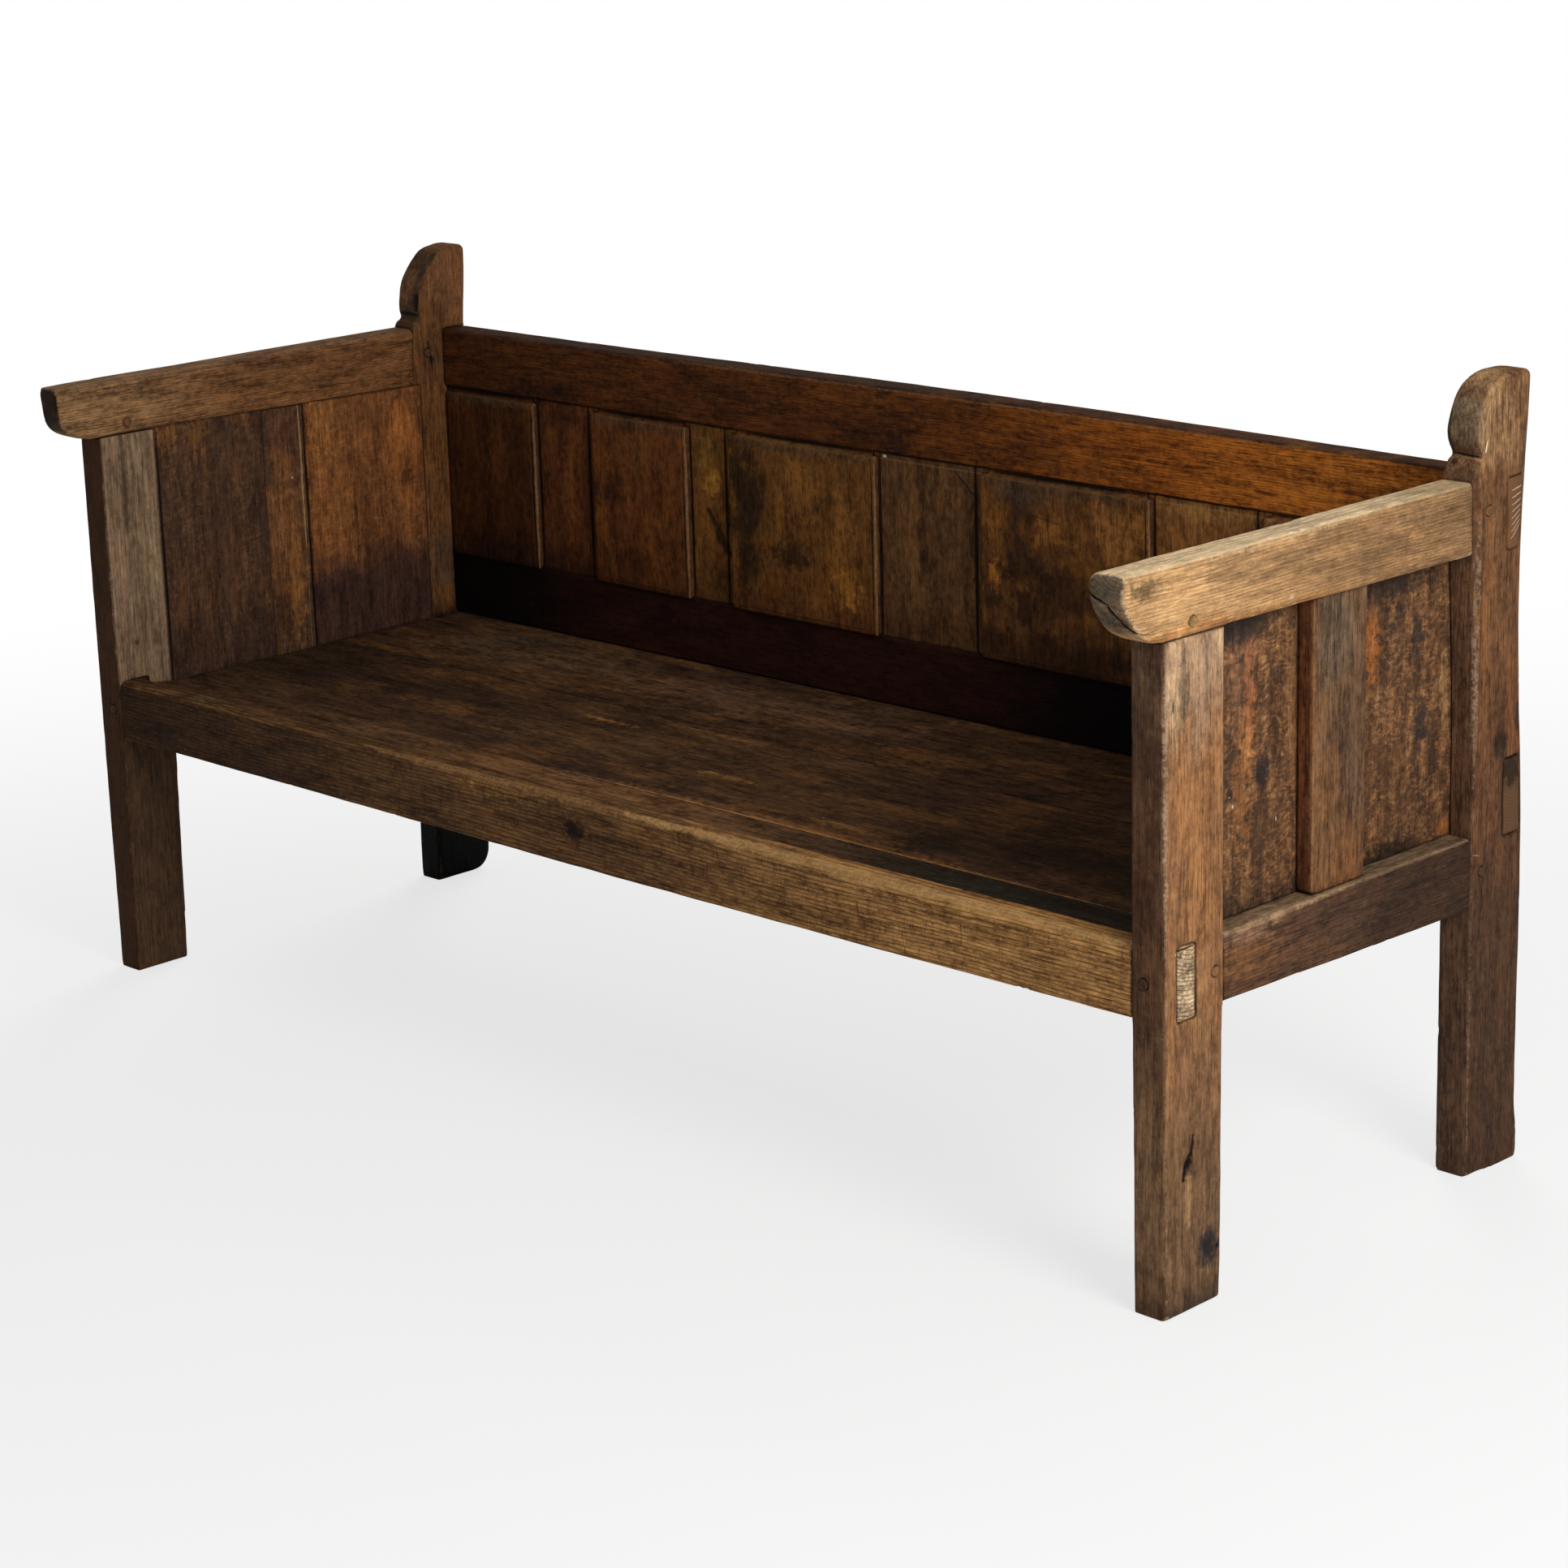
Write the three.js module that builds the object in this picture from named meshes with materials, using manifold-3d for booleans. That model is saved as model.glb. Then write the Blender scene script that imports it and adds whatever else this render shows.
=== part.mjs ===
// Long settle of pegged oak: two panelled ends with arms, a boarded back between eared posts, and a boarded seat.
// Millimetres. X runs along the bench, Y from its front to its back, Z up.
import * as THREE from "three";
import { mergeVertices } from "three/addons/utils/BufferGeometryUtils.js";
import Module from "manifold-3d";

const wasm = await Module();
wasm.setup();

// Overall sizes
const benchWidth = 1900;
const benchDepth = 656;
const benchHeight = 949;
const seatHeight = 406;
const earRise = 114;

// Fits and wear
const jointGap = 0.3;
const cutOverrun = 5;
const arrisWear = 3;
const softArris = 1.5;

// Posts
const frontPostWidth = 48;
const backPostDepth = 101;
const footTaper = 3;
const heelRadius = 30;
const crownRadius = 9;

// Arms
const armOverhang = 68;
const armInnerRound = 11;

// End panels, their muntins and the side rails
const panelThickness = 13;
const panelInset = 33;
const panelTongue = 9;
const panelTongueThickness = 6;
const panelRebate = 11.5;
const muntinWidth = 97;
const muntinInset = 10;
const muntinFrontEdge = 265;
const sideRailRise = 11;
const sideRailFrontDepth = 78;
const sideRailRearDepth = 88;
const sideRailInset = 2;

// Front seat rail
const frontRailRise = 13.5;
const frontRailDepth = 82;
const frontRailThickness = 50;
const frontRailInset = 1;
const frontRailRound = 12;
const frontRailLedge = 14;

// Back rails
const backRailThickness = 41;
const topRailDrop = 6;
const topRailDepth = 84;
const lowerRailRise = 93;

// Rear seat rail and bearers, under the seat
const seatRailThickness = 40;
const seatRailDepth = 70;
const seatRailSetback = 10;
const bearerWidth = 50;
const bearerDepth = 40;
const bearerPlaceShares = [-0.42, 0, 0.42];

// Seat boards
const seatBoardThickness = 22;
const seatSeam = 0.8;
const seatStripBack = 118;
const seatMainBack = 388;
const seatRearSetback = 6;

// Back boards, from the left: raised boards alternate with flat ones
const flatBoardThickness = 14;
const fieldProud = 5;
const flatSetback = 5;
const boardLap = 10;
const boardTongue = 12;
const fieldTopGap = 6;
const fieldHang = 4;
const fieldEndGap = 2;
const fieldMould = 4;
const boardWidthShares = [195, 119, 194, 82, 276, 182.5, 282.5, 173, 304];

// Tenons and pegs
const endTenonThickness = 16;
const endTenonCheek = 16;
const armTenonLength = 48;
const armTenonShoulder = 14;
const postTenonHeight = 42;
const postTenonFront = 18;
const postTenonDepth = 54;
const sideTenonFrontLength = 36;
const sideTenonRearLength = 44;
const sideTenonShoulder = 10;
const muntinTenonLength = 24;
const muntinTenonThickness = 12;
const muntinTenonCheek = 14;
const frontTenonThickness = 30;
const backTenonThickness = 34;
const seatRailTenonThickness = 18;
const seatRailTenonLength = 28;
const seatRailTenonShoulder = 10;
const bearerTenonLength = 16;
const bearerTenonWidth = 24;
const bearerTenonShoulder = 9;
const pegRadius = 6.5;
const pegProud = 1.2;
const pegSides = 10;
const frontPegInset = 31;
const frontPegLength = 53;
const armPostPegHeight = 15;
const armPostPegSetback = 47;
const armHeelPegSetback = 29;
const armHeelPegDrop = 38;
const sideFrontPegSetback = 15;
const sideRearPegSetback = 20;
const backPegInset = 22;
const backPegLength = 48;

// The two ends differ a little, as hand-made ones do: the left end
const leftPostDepth = 91;
const leftFootDepth = 86;
const leftArmNoseDepth = 74;
const leftArmHeelDepth = 82;
const leftLedgeRise = 9;
const leftLedgeFall = 6;
const leftLedgeWear = 3;

// The right end
const rightPostDepth = 100;
const rightFootDepth = 90;
const rightArmNoseDepth = 81;
const rightArmHeelDepth = 85;
const rightLedgeRise = 23;
const rightLedgeFall = 20;
const rightLedgeWear = 12;

const ends = [
  {
    name: "left",
    sign: -1,
    postDepth: leftPostDepth,
    footDepth: leftFootDepth,
    armNoseDepth: leftArmNoseDepth,
    armHeelDepth: leftArmHeelDepth,
    ledgeRise: leftLedgeRise,
    ledgeFall: leftLedgeFall,
    ledgeWear: leftLedgeWear,
    noseShares: [[1, 0.83], [0.985, 0.57], [0.95, 0.37], [0.8, 0.19], [0.5, 0.06], [0.2, 0]],
    earShares: [[0.2, 1], [0.46, 0.95], [0.62, 0.84], [0.77, 0.7], [0.88, 0.56], [0.935, 0.4],
      [0.945, 0.2], [0.915, 0.08], [0.85, 0]],
  },
  {
    name: "right",
    sign: 1,
    postDepth: rightPostDepth,
    footDepth: rightFootDepth,
    armNoseDepth: rightArmNoseDepth,
    armHeelDepth: rightArmHeelDepth,
    ledgeRise: rightLedgeRise,
    ledgeFall: rightLedgeFall,
    ledgeWear: rightLedgeWear,
    noseShares: [[1, 0.8], [0.96, 0.63], [0.86, 0.46], [0.62, 0.21], [0.3, 0.05], [0.05, 0]],
    earShares: [[0.24, 1], [0.42, 0.985], [0.6, 0.885], [0.74, 0.74], [0.855, 0.56], [0.915, 0.37],
      [0.895, 0.19], [0.8, 0]],
  },
];

// Places worked out from the sizes. "Reach" is a distance from the middle of the bench along X.
const outerReach = benchWidth / 2;
const frontPostReach = outerReach - frontPostWidth;
const panelOuterReach = outerReach - panelInset;
const panelInnerReach = panelOuterReach - panelThickness;
const armTopHeight = benchHeight - earRise;
const backPostFront = benchDepth - backPostDepth;
const seatUnderside = seatHeight - seatBoardThickness;
const sideRailTop = seatHeight + sideRailRise;
const backRailFront = benchDepth - backRailThickness;
const topRailTop = armTopHeight - topRailDrop;
const topRailBottom = topRailTop - topRailDepth;
const lowerRailTop = seatHeight + lowerRailRise;
const lowerRailBottom = seatHeight + jointGap;
const flatBoardFront = backRailFront + flatSetback;
const flatBoardBack = flatBoardFront + flatBoardThickness;
const fieldFront = backRailFront - fieldProud;
const frontRailBack = frontRailInset + frontRailThickness;
const frontRailTop = seatHeight + frontRailRise;
const frontRailBottom = frontRailTop - frontRailDepth;
const seatRailBack = benchDepth - seatRailSetback;
const seatRailFront = seatRailBack - seatRailThickness;
const seatRearBack = seatRailBack - seatRearSetback;
const muntinBackEdge = muntinFrontEdge + muntinWidth;

// A closed geometry as a solid that can be joined and cut.
function solidOf(geometry) {
  const bare = geometry.clone();
  bare.deleteAttribute("normal");
  bare.deleteAttribute("uv");
  const merged = mergeVertices(bare);
  return new wasm.Manifold(
    new wasm.Mesh({
      numProp: 3,
      vertProperties: new Float32Array(merged.attributes.position.array),
      triVerts: new Uint32Array(merged.index.array),
    }),
  );
}

// A solid as a named mesh with flat faces.
function meshOf(name, solid, material) {
  const { numProp, vertProperties, triVerts } = solid.getMesh();
  const geometry = new THREE.BufferGeometry();
  geometry.setAttribute("position", new THREE.BufferAttribute(vertProperties, numProp));
  geometry.setIndex(new THREE.BufferAttribute(triVerts, 1));
  const flat = geometry.toNonIndexed();
  flat.computeVertexNormals();
  const mesh = new THREE.Mesh(flat, material);
  mesh.name = name;
  return mesh;
}

// A box {x, y, z} of three ranges, grown on every side by a margin.
function block({ x, y, z }, margin = 0) {
  const size = [x, y, z].map(([low, high]) => high - low + 2 * margin);
  const middle = [x, y, z].map(([low, high]) => (low + high) / 2);
  return solidOf(new THREE.BoxGeometry(...size).translate(...middle));
}

// The X range between two reaches on one side of the bench.
function reachRange(sign, inner, outer) {
  return sign > 0 ? [inner, outer] : [-outer, -inner];
}

// A prism whose outline lies in two axes and which runs along the third; wear chamfers its ends' edges.
function prism(outline, axes, range, wear = 0) {
  const [low, high] = range;
  const geometry = new THREE.ExtrudeGeometry(outline, {
    depth: high - low - 2 * wear,
    curveSegments: 4,
    bevelEnabled: wear > 0,
    bevelThickness: wear,
    bevelSize: wear,
    bevelOffset: -wear,
    bevelSegments: 1,
  });
  geometry.translate(0, 0, low + wear);
  return solidOf(geometry.applyMatrix4(axes));
}

const unitX = new THREE.Vector3(1, 0, 0);
const unitY = new THREE.Vector3(0, 1, 0);
const unitZ = new THREE.Vector3(0, 0, 1);

// An outline in (Y, Z) run along X.
function sideProfile(outline, xRange, wear) {
  return prism(outline, new THREE.Matrix4().makeBasis(unitY, unitZ, unitX), xRange, wear);
}

// An outline in (X, Z) run along Y.
function frontProfile(outline, [front, back], wear) {
  const towardsFront = unitY.clone().negate();
  return prism(outline, new THREE.Matrix4().makeBasis(unitX, unitZ, towardsFront), [-back, -front], wear);
}

function polygon(points) {
  return new THREE.Shape(points.map(([u, v]) => new THREE.Vector2(u, v)));
}

// A rectangle whose corners have their own radii: low-low, high-low, high-high, low-high.
function roundedRectangle([u0, u1], [v0, v1], [a, b, c, d]) {
  const quarter = Math.PI / 2;
  const shape = new THREE.Shape();
  shape.moveTo(u0 + a, v0);
  shape.lineTo(u1 - b, v0);
  if (b > 0) shape.absarc(u1 - b, v0 + b, b, -quarter, 0);
  shape.lineTo(u1, v1 - c);
  if (c > 0) shape.absarc(u1 - c, v1 - c, c, 0, quarter);
  shape.lineTo(u0 + d, v1);
  if (d > 0) shape.absarc(u0 + d, v1 - d, d, quarter, 2 * quarter);
  shape.lineTo(u0, v0 + a);
  if (a > 0) shape.absarc(u0 + a, v0 + a, a, 2 * quarter, 3 * quarter);
  return shape;
}

// A round peg along X or Y, through the point where its axis crosses the plane across it.
function dowel(axis, { x, y, z }, [low, high], margin = 0) {
  const geometry = new THREE.CylinderGeometry(
    pegRadius + margin, pegRadius + margin, high - low + 2 * margin, pegSides);
  const middle = (low + high) / 2;
  if (axis === "x") geometry.rotateZ(Math.PI / 2).translate(middle, y, z);
  else geometry.translate(x, middle, z);
  return solidOf(geometry);
}

// The pieces by name, each a solid in the bench's own place, and how a name's piece is cut or joined.
const pieces = new Map();
const looks = new Map();

function addPiece(name, solid, look) {
  pieces.set(name, solid);
  looks.set(name, look);
}

function join(name, solid) {
  pieces.set(name, pieces.get(name).add(solid));
}

function cut(name, solid) {
  pieces.set(name, pieces.get(name).subtract(solid));
}

// A tenon joins the piece that carries it and leaves its mortise in the piece that takes it.
function tenon(owner, host, box) {
  join(owner, block(box));
  cut(host, block(box, jointGap));
}

// A peg is a piece of its own that runs through the pieces it pins.
function peg(name, axis, point, range, pinned) {
  for (const piece of pinned) cut(piece, dowel(axis, point, range, jointGap));
  addPiece(name, dowel(axis, point, range), "peg");
}

// The height of an arm's underside between the posts, where the arm deepens towards the back.
function armUnderside(end, y) {
  const along = (y - end.postDepth) / (backPostFront - end.postDepth);
  const depth = end.armNoseDepth + along * (end.armHeelDepth - end.armNoseDepth);
  return armTopHeight - depth;
}

// The height of a side rail's underside, where the rail deepens towards the back.
function sideRailUnderside(end, y) {
  const along = (y - end.postDepth) / (backPostFront - end.postDepth);
  const depth = sideRailFrontDepth + along * (sideRailRearDepth - sideRailFrontDepth);
  return sideRailTop - depth;
}

// Front post: straight above the side rail, tapering to its foot below.
function frontPost(end) {
  const { sign, postDepth, footDepth } = end;
  const top = armTopHeight - end.armNoseDepth - jointGap;
  const legTop = sideRailUnderside(end, postDepth);
  const side = polygon([[0, 0], [footDepth, 0], [postDepth, legTop],
    [postDepth, top + cutOverrun], [0, top + cutOverrun]]);
  const front = polygon([[sign * outerReach, 0], [sign * outerReach, top],
    [sign * frontPostReach, top], [sign * frontPostReach, legTop],
    [sign * (frontPostReach + footTaper), 0]]);
  return sideProfile(side, reachRange(sign, frontPostReach, outerReach), arrisWear)
    .intersect(frontProfile(front, [0, postDepth]));
}

// Back post: a worn heel below, and above the arm a ledge and an ear with a round front.
function backPost(end) {
  const { sign, ledgeRise, ledgeFall, ledgeWear, earShares } = end;
  const ledgeHeight = armTopHeight + ledgeRise;
  const earHeight = benchHeight - ledgeHeight;
  const [earTop, ...earFront] = earShares.map(([forward, up]) =>
    new THREE.Vector2(benchDepth - forward * backPostDepth, ledgeHeight + up * earHeight));
  const side = new THREE.Shape();
  side.moveTo(backPostFront, 0);
  side.lineTo(benchDepth - heelRadius, 0);
  side.absarc(benchDepth - heelRadius, heelRadius, heelRadius, -Math.PI / 2, 0);
  side.lineTo(benchDepth, benchHeight - crownRadius);
  side.absarc(benchDepth - crownRadius, benchHeight - crownRadius, crownRadius, 0, Math.PI / 2);
  side.lineTo(earTop.x, earTop.y);
  side.splineThru(earFront);
  side.lineTo(backPostFront + ledgeWear, ledgeHeight);
  side.lineTo(backPostFront, ledgeHeight - ledgeFall);
  return sideProfile(side, reachRange(sign, panelInnerReach, outerReach), arrisWear);
}

// Arm: a beam whose nose is rounded under and whose inner top edge is worn round.
function arm(end) {
  const { sign, postDepth, armNoseDepth, noseShares } = end;
  const noseBottom = armTopHeight - armNoseDepth;
  const heel = backPostFront - jointGap;
  const [noseFront, ...noseCurve] = noseShares.map(([forward, up]) =>
    new THREE.Vector2(-forward * armOverhang, noseBottom + up * armNoseDepth));
  const side = new THREE.Shape();
  side.moveTo(heel + cutOverrun, armTopHeight);
  side.lineTo(arrisWear - armOverhang, armTopHeight);
  side.lineTo(noseFront.x, noseFront.y);
  side.splineThru(noseCurve);
  side.lineTo(postDepth, noseBottom);
  side.lineTo(heel + cutOverrun, armUnderside(end, heel + cutOverrun));
  const width = reachRange(sign, frontPostReach, outerReach);
  const lowest = armUnderside(end, backPostFront + backPostDepth);
  const corners = sign > 0 ? [0, 0, softArris, armInnerRound] : [0, 0, armInnerRound, softArris];
  const section = roundedRectangle(width, [lowest, armTopHeight], corners);
  return sideProfile(side, width, arrisWear)
    .intersect(frontProfile(section, [-armOverhang - cutOverrun, heel]));
}

// Side rail: rebated inside to carry the end panels, which the seat boards meet.
function sideRail(end) {
  const front = end.postDepth + jointGap;
  const back = backPostFront - jointGap;
  const side = polygon([[front, sideRailUnderside(end, front)], [back, sideRailUnderside(end, back)],
    [back, sideRailTop], [front, sideRailTop]]);
  const step = {
    x: reachRange(end.sign, panelInnerReach - cutOverrun, panelOuterReach + jointGap),
    y: [front - cutOverrun, back + cutOverrun],
    z: [seatUnderside - jointGap, sideRailTop + cutOverrun],
  };
  return sideProfile(side, reachRange(end.sign, panelInnerReach, outerReach - sideRailInset), softArris)
    .subtract(block(step));
}

// Muntin: the upright between an end's two panels, with a longer inner shoulder that stands in the rail's rebate.
function muntin(end) {
  const upright = polygon([[muntinFrontEdge, sideRailTop + jointGap], [muntinBackEdge, sideRailTop + jointGap],
    [muntinBackEdge, armUnderside(end, muntinBackEdge) - jointGap],
    [muntinFrontEdge, armUnderside(end, muntinFrontEdge) - jointGap]]);
  const foot = {
    x: reachRange(end.sign, panelInnerReach, panelOuterReach),
    y: [muntinFrontEdge + panelRebate, muntinBackEdge - panelRebate],
    z: [seatUnderside, sideRailTop + panelRebate],
  };
  return sideProfile(upright, reachRange(end.sign, panelInnerReach, outerReach - muntinInset), softArris)
    .add(block(foot));
}

// An end panel's outline between two places, its top under or up in the arm, grown by a margin.
function panelOutline(end, [front, back], rise, margin = 0) {
  const top = (y) => armUnderside(end, y) + rise + margin;
  const bottom = seatUnderside - margin;
  return polygon([[front - margin, bottom], [back + margin, bottom],
    [back + margin, top(back)], [front - margin, top(front)]]);
}

// The two panels of an end: where each one's face starts and stops, and how far its tongue runs in front.
function endPanels(end) {
  return [
    {
      place: "front",
      span: [end.postDepth + jointGap, muntinFrontEdge + panelRebate - jointGap],
      tongueFront: end.postDepth - panelTongue,
      hosts: ["front_post", "arm"],
      lappedBy: ["muntin"],
    },
    {
      place: "rear",
      span: [muntinBackEdge - panelRebate + jointGap, backPostFront + panelRebate],
      tongueFront: muntinBackEdge - panelRebate + jointGap,
      hosts: ["arm"],
      lappedBy: ["muntin", "back_post"],
    },
  ];
}

// Adds an end's panels, each tongued into the arm and the front post and lapped by the muntin or the back post.
function addEndPanels(end) {
  const tongueReach = panelInnerReach + (panelThickness - panelTongueThickness) / 2;
  const tongueX = reachRange(end.sign, tongueReach, tongueReach + panelTongueThickness);
  const grooveX = [tongueX[0] - jointGap, tongueX[1] + jointGap];
  const faceX = reachRange(end.sign, panelInnerReach, panelOuterReach);
  const rebateX = reachRange(end.sign, panelInnerReach - cutOverrun, panelOuterReach + jointGap);
  for (const { place, span, tongueFront, hosts, lappedBy } of endPanels(end)) {
    const tongueSpan = [tongueFront, Math.min(span[1], backPostFront - jointGap)];
    const face = sideProfile(panelOutline(end, span, -jointGap), faceX);
    const tongue = sideProfile(panelOutline(end, tongueSpan, panelTongue), tongueX);
    addPiece(`end_panel_${place}_${end.name}`, face.add(tongue), "panel");
    const groove = sideProfile(panelOutline(end, tongueSpan, panelTongue, jointGap), grooveX);
    const rebate = sideProfile(panelOutline(end, span, -jointGap, jointGap), rebateX);
    for (const host of hosts) cut(`${host}_${end.name}`, groove);
    for (const host of lappedBy) cut(`${host}_${end.name}`, rebate);
  }
}

// Front seat rail: its top front edge worn round.
function frontSeatRail() {
  const reach = frontPostReach - jointGap;
  const corners = [softArris, softArris, arrisWear, frontRailRound];
  const section = roundedRectangle([frontRailInset, frontRailBack], [frontRailBottom, frontRailTop], corners);
  return sideProfile(section, [-reach, reach]);
}

// A back rail between the back posts.
function backRail([bottom, top]) {
  const reach = panelInnerReach - jointGap;
  const corners = [softArris, softArris, arrisWear, arrisWear];
  const section = roundedRectangle([backRailFront, benchDepth], [bottom, top], corners);
  return sideProfile(section, [-reach, reach]);
}

// Cuts the long rails between their shoulders: a step behind the front rail for the seat, and the back rails'
// grooves for the boards.
function cutLongRails() {
  const seatStep = {
    x: [jointGap - frontPostReach, frontPostReach - jointGap],
    y: [frontRailBack - frontRailLedge, frontRailBack + cutOverrun],
    z: [seatUnderside - jointGap, frontRailTop + cutOverrun],
  };
  cut("front_seat_rail", block(seatStep));
  const groove = {
    x: [jointGap - panelInnerReach, panelInnerReach - jointGap],
    y: [flatBoardFront - jointGap, flatBoardBack + jointGap],
  };
  const deep = boardTongue + jointGap;
  cut("back_top_rail", block({ ...groove, z: [topRailBottom - cutOverrun, topRailBottom + deep] }));
  cut("back_lower_rail", block({ ...groove, z: [lowerRailTop - deep, lowerRailTop + cutOverrun] }));
}

// Rear seat rail: hidden under the back of the seat.
function rearSeatRail() {
  const reach = panelInnerReach - jointGap;
  const top = seatUnderside - jointGap;
  const corners = [softArris, softArris, softArris, softArris];
  const section = roundedRectangle([seatRailFront, seatRailBack], [top - seatRailDepth, top], corners);
  return sideProfile(section, [-reach, reach]);
}

// The X ranges of the back boards' faces, from the left, between the back posts.
function backBoardRanges() {
  const total = boardWidthShares.reduce((sum, share) => sum + share, 0);
  const edges = [-panelInnerReach];
  for (const share of boardWidthShares) edges.push(edges.at(-1) + (share / total) * 2 * panelInnerReach);
  return boardWidthShares.map((_, i) => [edges[i], edges[i + 1]]);
}

// A flat board runs behind the edges of the raised boards beside it.
function flatBoard([left, right]) {
  return block({
    x: [left - boardLap, right + boardLap],
    y: [flatBoardFront, flatBoardBack],
    z: [lowerRailTop - boardTongue, topRailBottom + boardTongue],
  });
}

// A raised board: a field with moulded edges, proud of the rails, on a back that is tongued into them.
function raisedBoard([left, right], backLeft, backRight) {
  const bottom = lowerRailTop - fieldHang;
  const top = topRailBottom - fieldTopGap;
  const fieldBack = flatBoardFront - jointGap;
  const outline = polygon([[left, bottom], [right, bottom], [right, top], [left, top]]);
  const overRail = {
    x: [left - cutOverrun, right + cutOverrun],
    y: [backRailFront - jointGap, fieldBack + cutOverrun],
    z: [bottom - cutOverrun, lowerRailTop + jointGap],
  };
  const back = {
    x: [backLeft, backRight],
    y: [fieldBack, flatBoardBack],
    z: [lowerRailTop - boardTongue, topRailBottom + boardTongue],
  };
  return frontProfile(outline, [fieldFront, fieldBack + fieldMould], fieldMould)
    .intersect(block({ x: [left, right], y: [fieldFront - cutOverrun, fieldBack], z: [bottom, top] }))
    .subtract(block(overRail))
    .add(block(back));
}

// Adds the row of back boards. The outer ones are also tongued into the back posts.
function addBackBoards() {
  const ranges = backBoardRanges();
  ranges.forEach(([left, right], i) => {
    const name = `back_board_${i + 1}`;
    if (i % 2 === 1) {
      addPiece(name, flatBoard([left, right]), "board");
      return;
    }
    const isFirst = i === 0;
    const isLast = i === ranges.length - 1;
    const field = [isFirst ? left + fieldEndGap : left, isLast ? right - fieldEndGap : right];
    const backLeft = left + (isFirst ? jointGap : boardLap + jointGap);
    const backRight = right - (isLast ? jointGap : boardLap + jointGap);
    addPiece(name, raisedBoard(field, backLeft, backRight), "board");
  });
  for (const { name, sign } of ends) {
    const tongue = {
      x: reachRange(sign, panelInnerReach - boardTongue, panelInnerReach + boardTongue),
      y: [flatBoardFront, flatBoardBack],
      z: [lowerRailTop + jointGap, topRailBottom - jointGap],
    };
    tenon(`back_board_${sign < 0 ? 1 : ranges.length}`, `back_post_${name}`, tongue);
  }
}

// A seat board from front to back, between what its ends meet.
function seatBoard([front, back], reach) {
  return block({
    x: [jointGap - reach, reach - jointGap],
    y: [front, back],
    z: [seatUnderside, seatHeight],
  });
}

// Adds the seat: a front strip behind the rail, a main board, and a rear board that runs under the back rail.
function addSeatBoards() {
  const stripFront = frontRailBack - frontRailLedge + jointGap;
  const stripReach = Math.min(frontPostReach, panelInnerReach);
  addPiece("seat_strip_front", seatBoard([stripFront, seatStripBack], stripReach), "seat");
  addPiece("seat_board_main", seatBoard([seatStripBack + seatSeam, seatMainBack], panelInnerReach), "seat");
  addPiece("seat_board_rear", seatBoard([seatMainBack + seatSeam, seatRearBack], panelInnerReach), "seat");
}

// Adds the bearers that run from front to back under the seat boards, stub-tenoned at both ends.
function addBearers() {
  const names = ["left", "centre", "right"];
  const top = seatUnderside - jointGap;
  const y = [frontRailBack + jointGap, seatRailFront - jointGap];
  bearerPlaceShares.forEach((share, i) => {
    const x = share * benchWidth;
    const name = `seat_bearer_${names[i]}`;
    addPiece(name, block({
      x: [x - bearerWidth / 2, x + bearerWidth / 2], y, z: [top - bearerDepth, top],
    }), "hidden");
    const stub = {
      x: [x - bearerTenonWidth / 2, x + bearerTenonWidth / 2],
      z: [top - bearerDepth + bearerTenonShoulder, top - bearerTenonShoulder],
    };
    tenon(name, "front_seat_rail", { ...stub, y: [y[0] - bearerTenonLength, y[0] + bearerTenonShoulder] });
    tenon(name, "rear_seat_rail", { ...stub, y: [y[1] - bearerTenonShoulder, y[1] + bearerTenonLength] });
  });
}

// The mortise-and-tenon joints of one end. Each tenon runs a little way into its own piece, to join it.
function joinEnd(end) {
  const { name, sign, postDepth, armNoseDepth } = end;
  const [frontPostName, backPostName] = [`front_post_${name}`, `back_post_${name}`];
  const [armName, railName, muntinName] = [`arm_${name}`, `side_rail_${name}`, `muntin_${name}`];
  const outerCheek = outerReach - endTenonCheek;
  const x = reachRange(sign, outerCheek - endTenonThickness, outerCheek);
  const root = endTenonThickness;
  const noseBottom = armTopHeight - armNoseDepth;
  const heelBottom = armUnderside(end, backPostFront);
  const railBottom = sideRailTop - sideRailRearDepth;

  const postTop = noseBottom - jointGap;
  tenon(frontPostName, armName,
    { x, y: [postTenonFront, postTenonFront + postTenonDepth], z: [postTop - root, postTop + postTenonHeight] });
  tenon(armName, backPostName, {
    x,
    y: [backPostFront - root, backPostFront + armTenonLength],
    z: [heelBottom + armTenonShoulder, armTopHeight - armTenonShoulder],
  });
  const railZ = [sideRailTop - sideRailFrontDepth + sideTenonShoulder, sideRailTop - sideTenonShoulder];
  tenon(railName, frontPostName, { x, y: [postDepth - sideTenonFrontLength, postDepth + root], z: railZ });
  tenon(railName, backPostName, {
    x,
    y: [backPostFront - root, backPostFront + sideTenonRearLength],
    z: [railBottom + sideTenonShoulder, sideRailTop - sideTenonShoulder],
  });

  const muntinCheek = outerReach - muntinTenonCheek;
  const muntinTenon = {
    x: reachRange(sign, muntinCheek - muntinTenonThickness, muntinCheek),
    y: [muntinFrontEdge + panelRebate, muntinBackEdge - panelRebate],
  };
  const muntinTop = armUnderside(end, muntinBackEdge);
  tenon(muntinName, armName, { ...muntinTenon, z: [muntinTop - root, muntinTop + muntinTenonLength] });
  tenon(muntinName, railName, { ...muntinTenon, z: [sideRailTop - muntinTenonLength, sideRailTop + root] });
}

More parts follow.
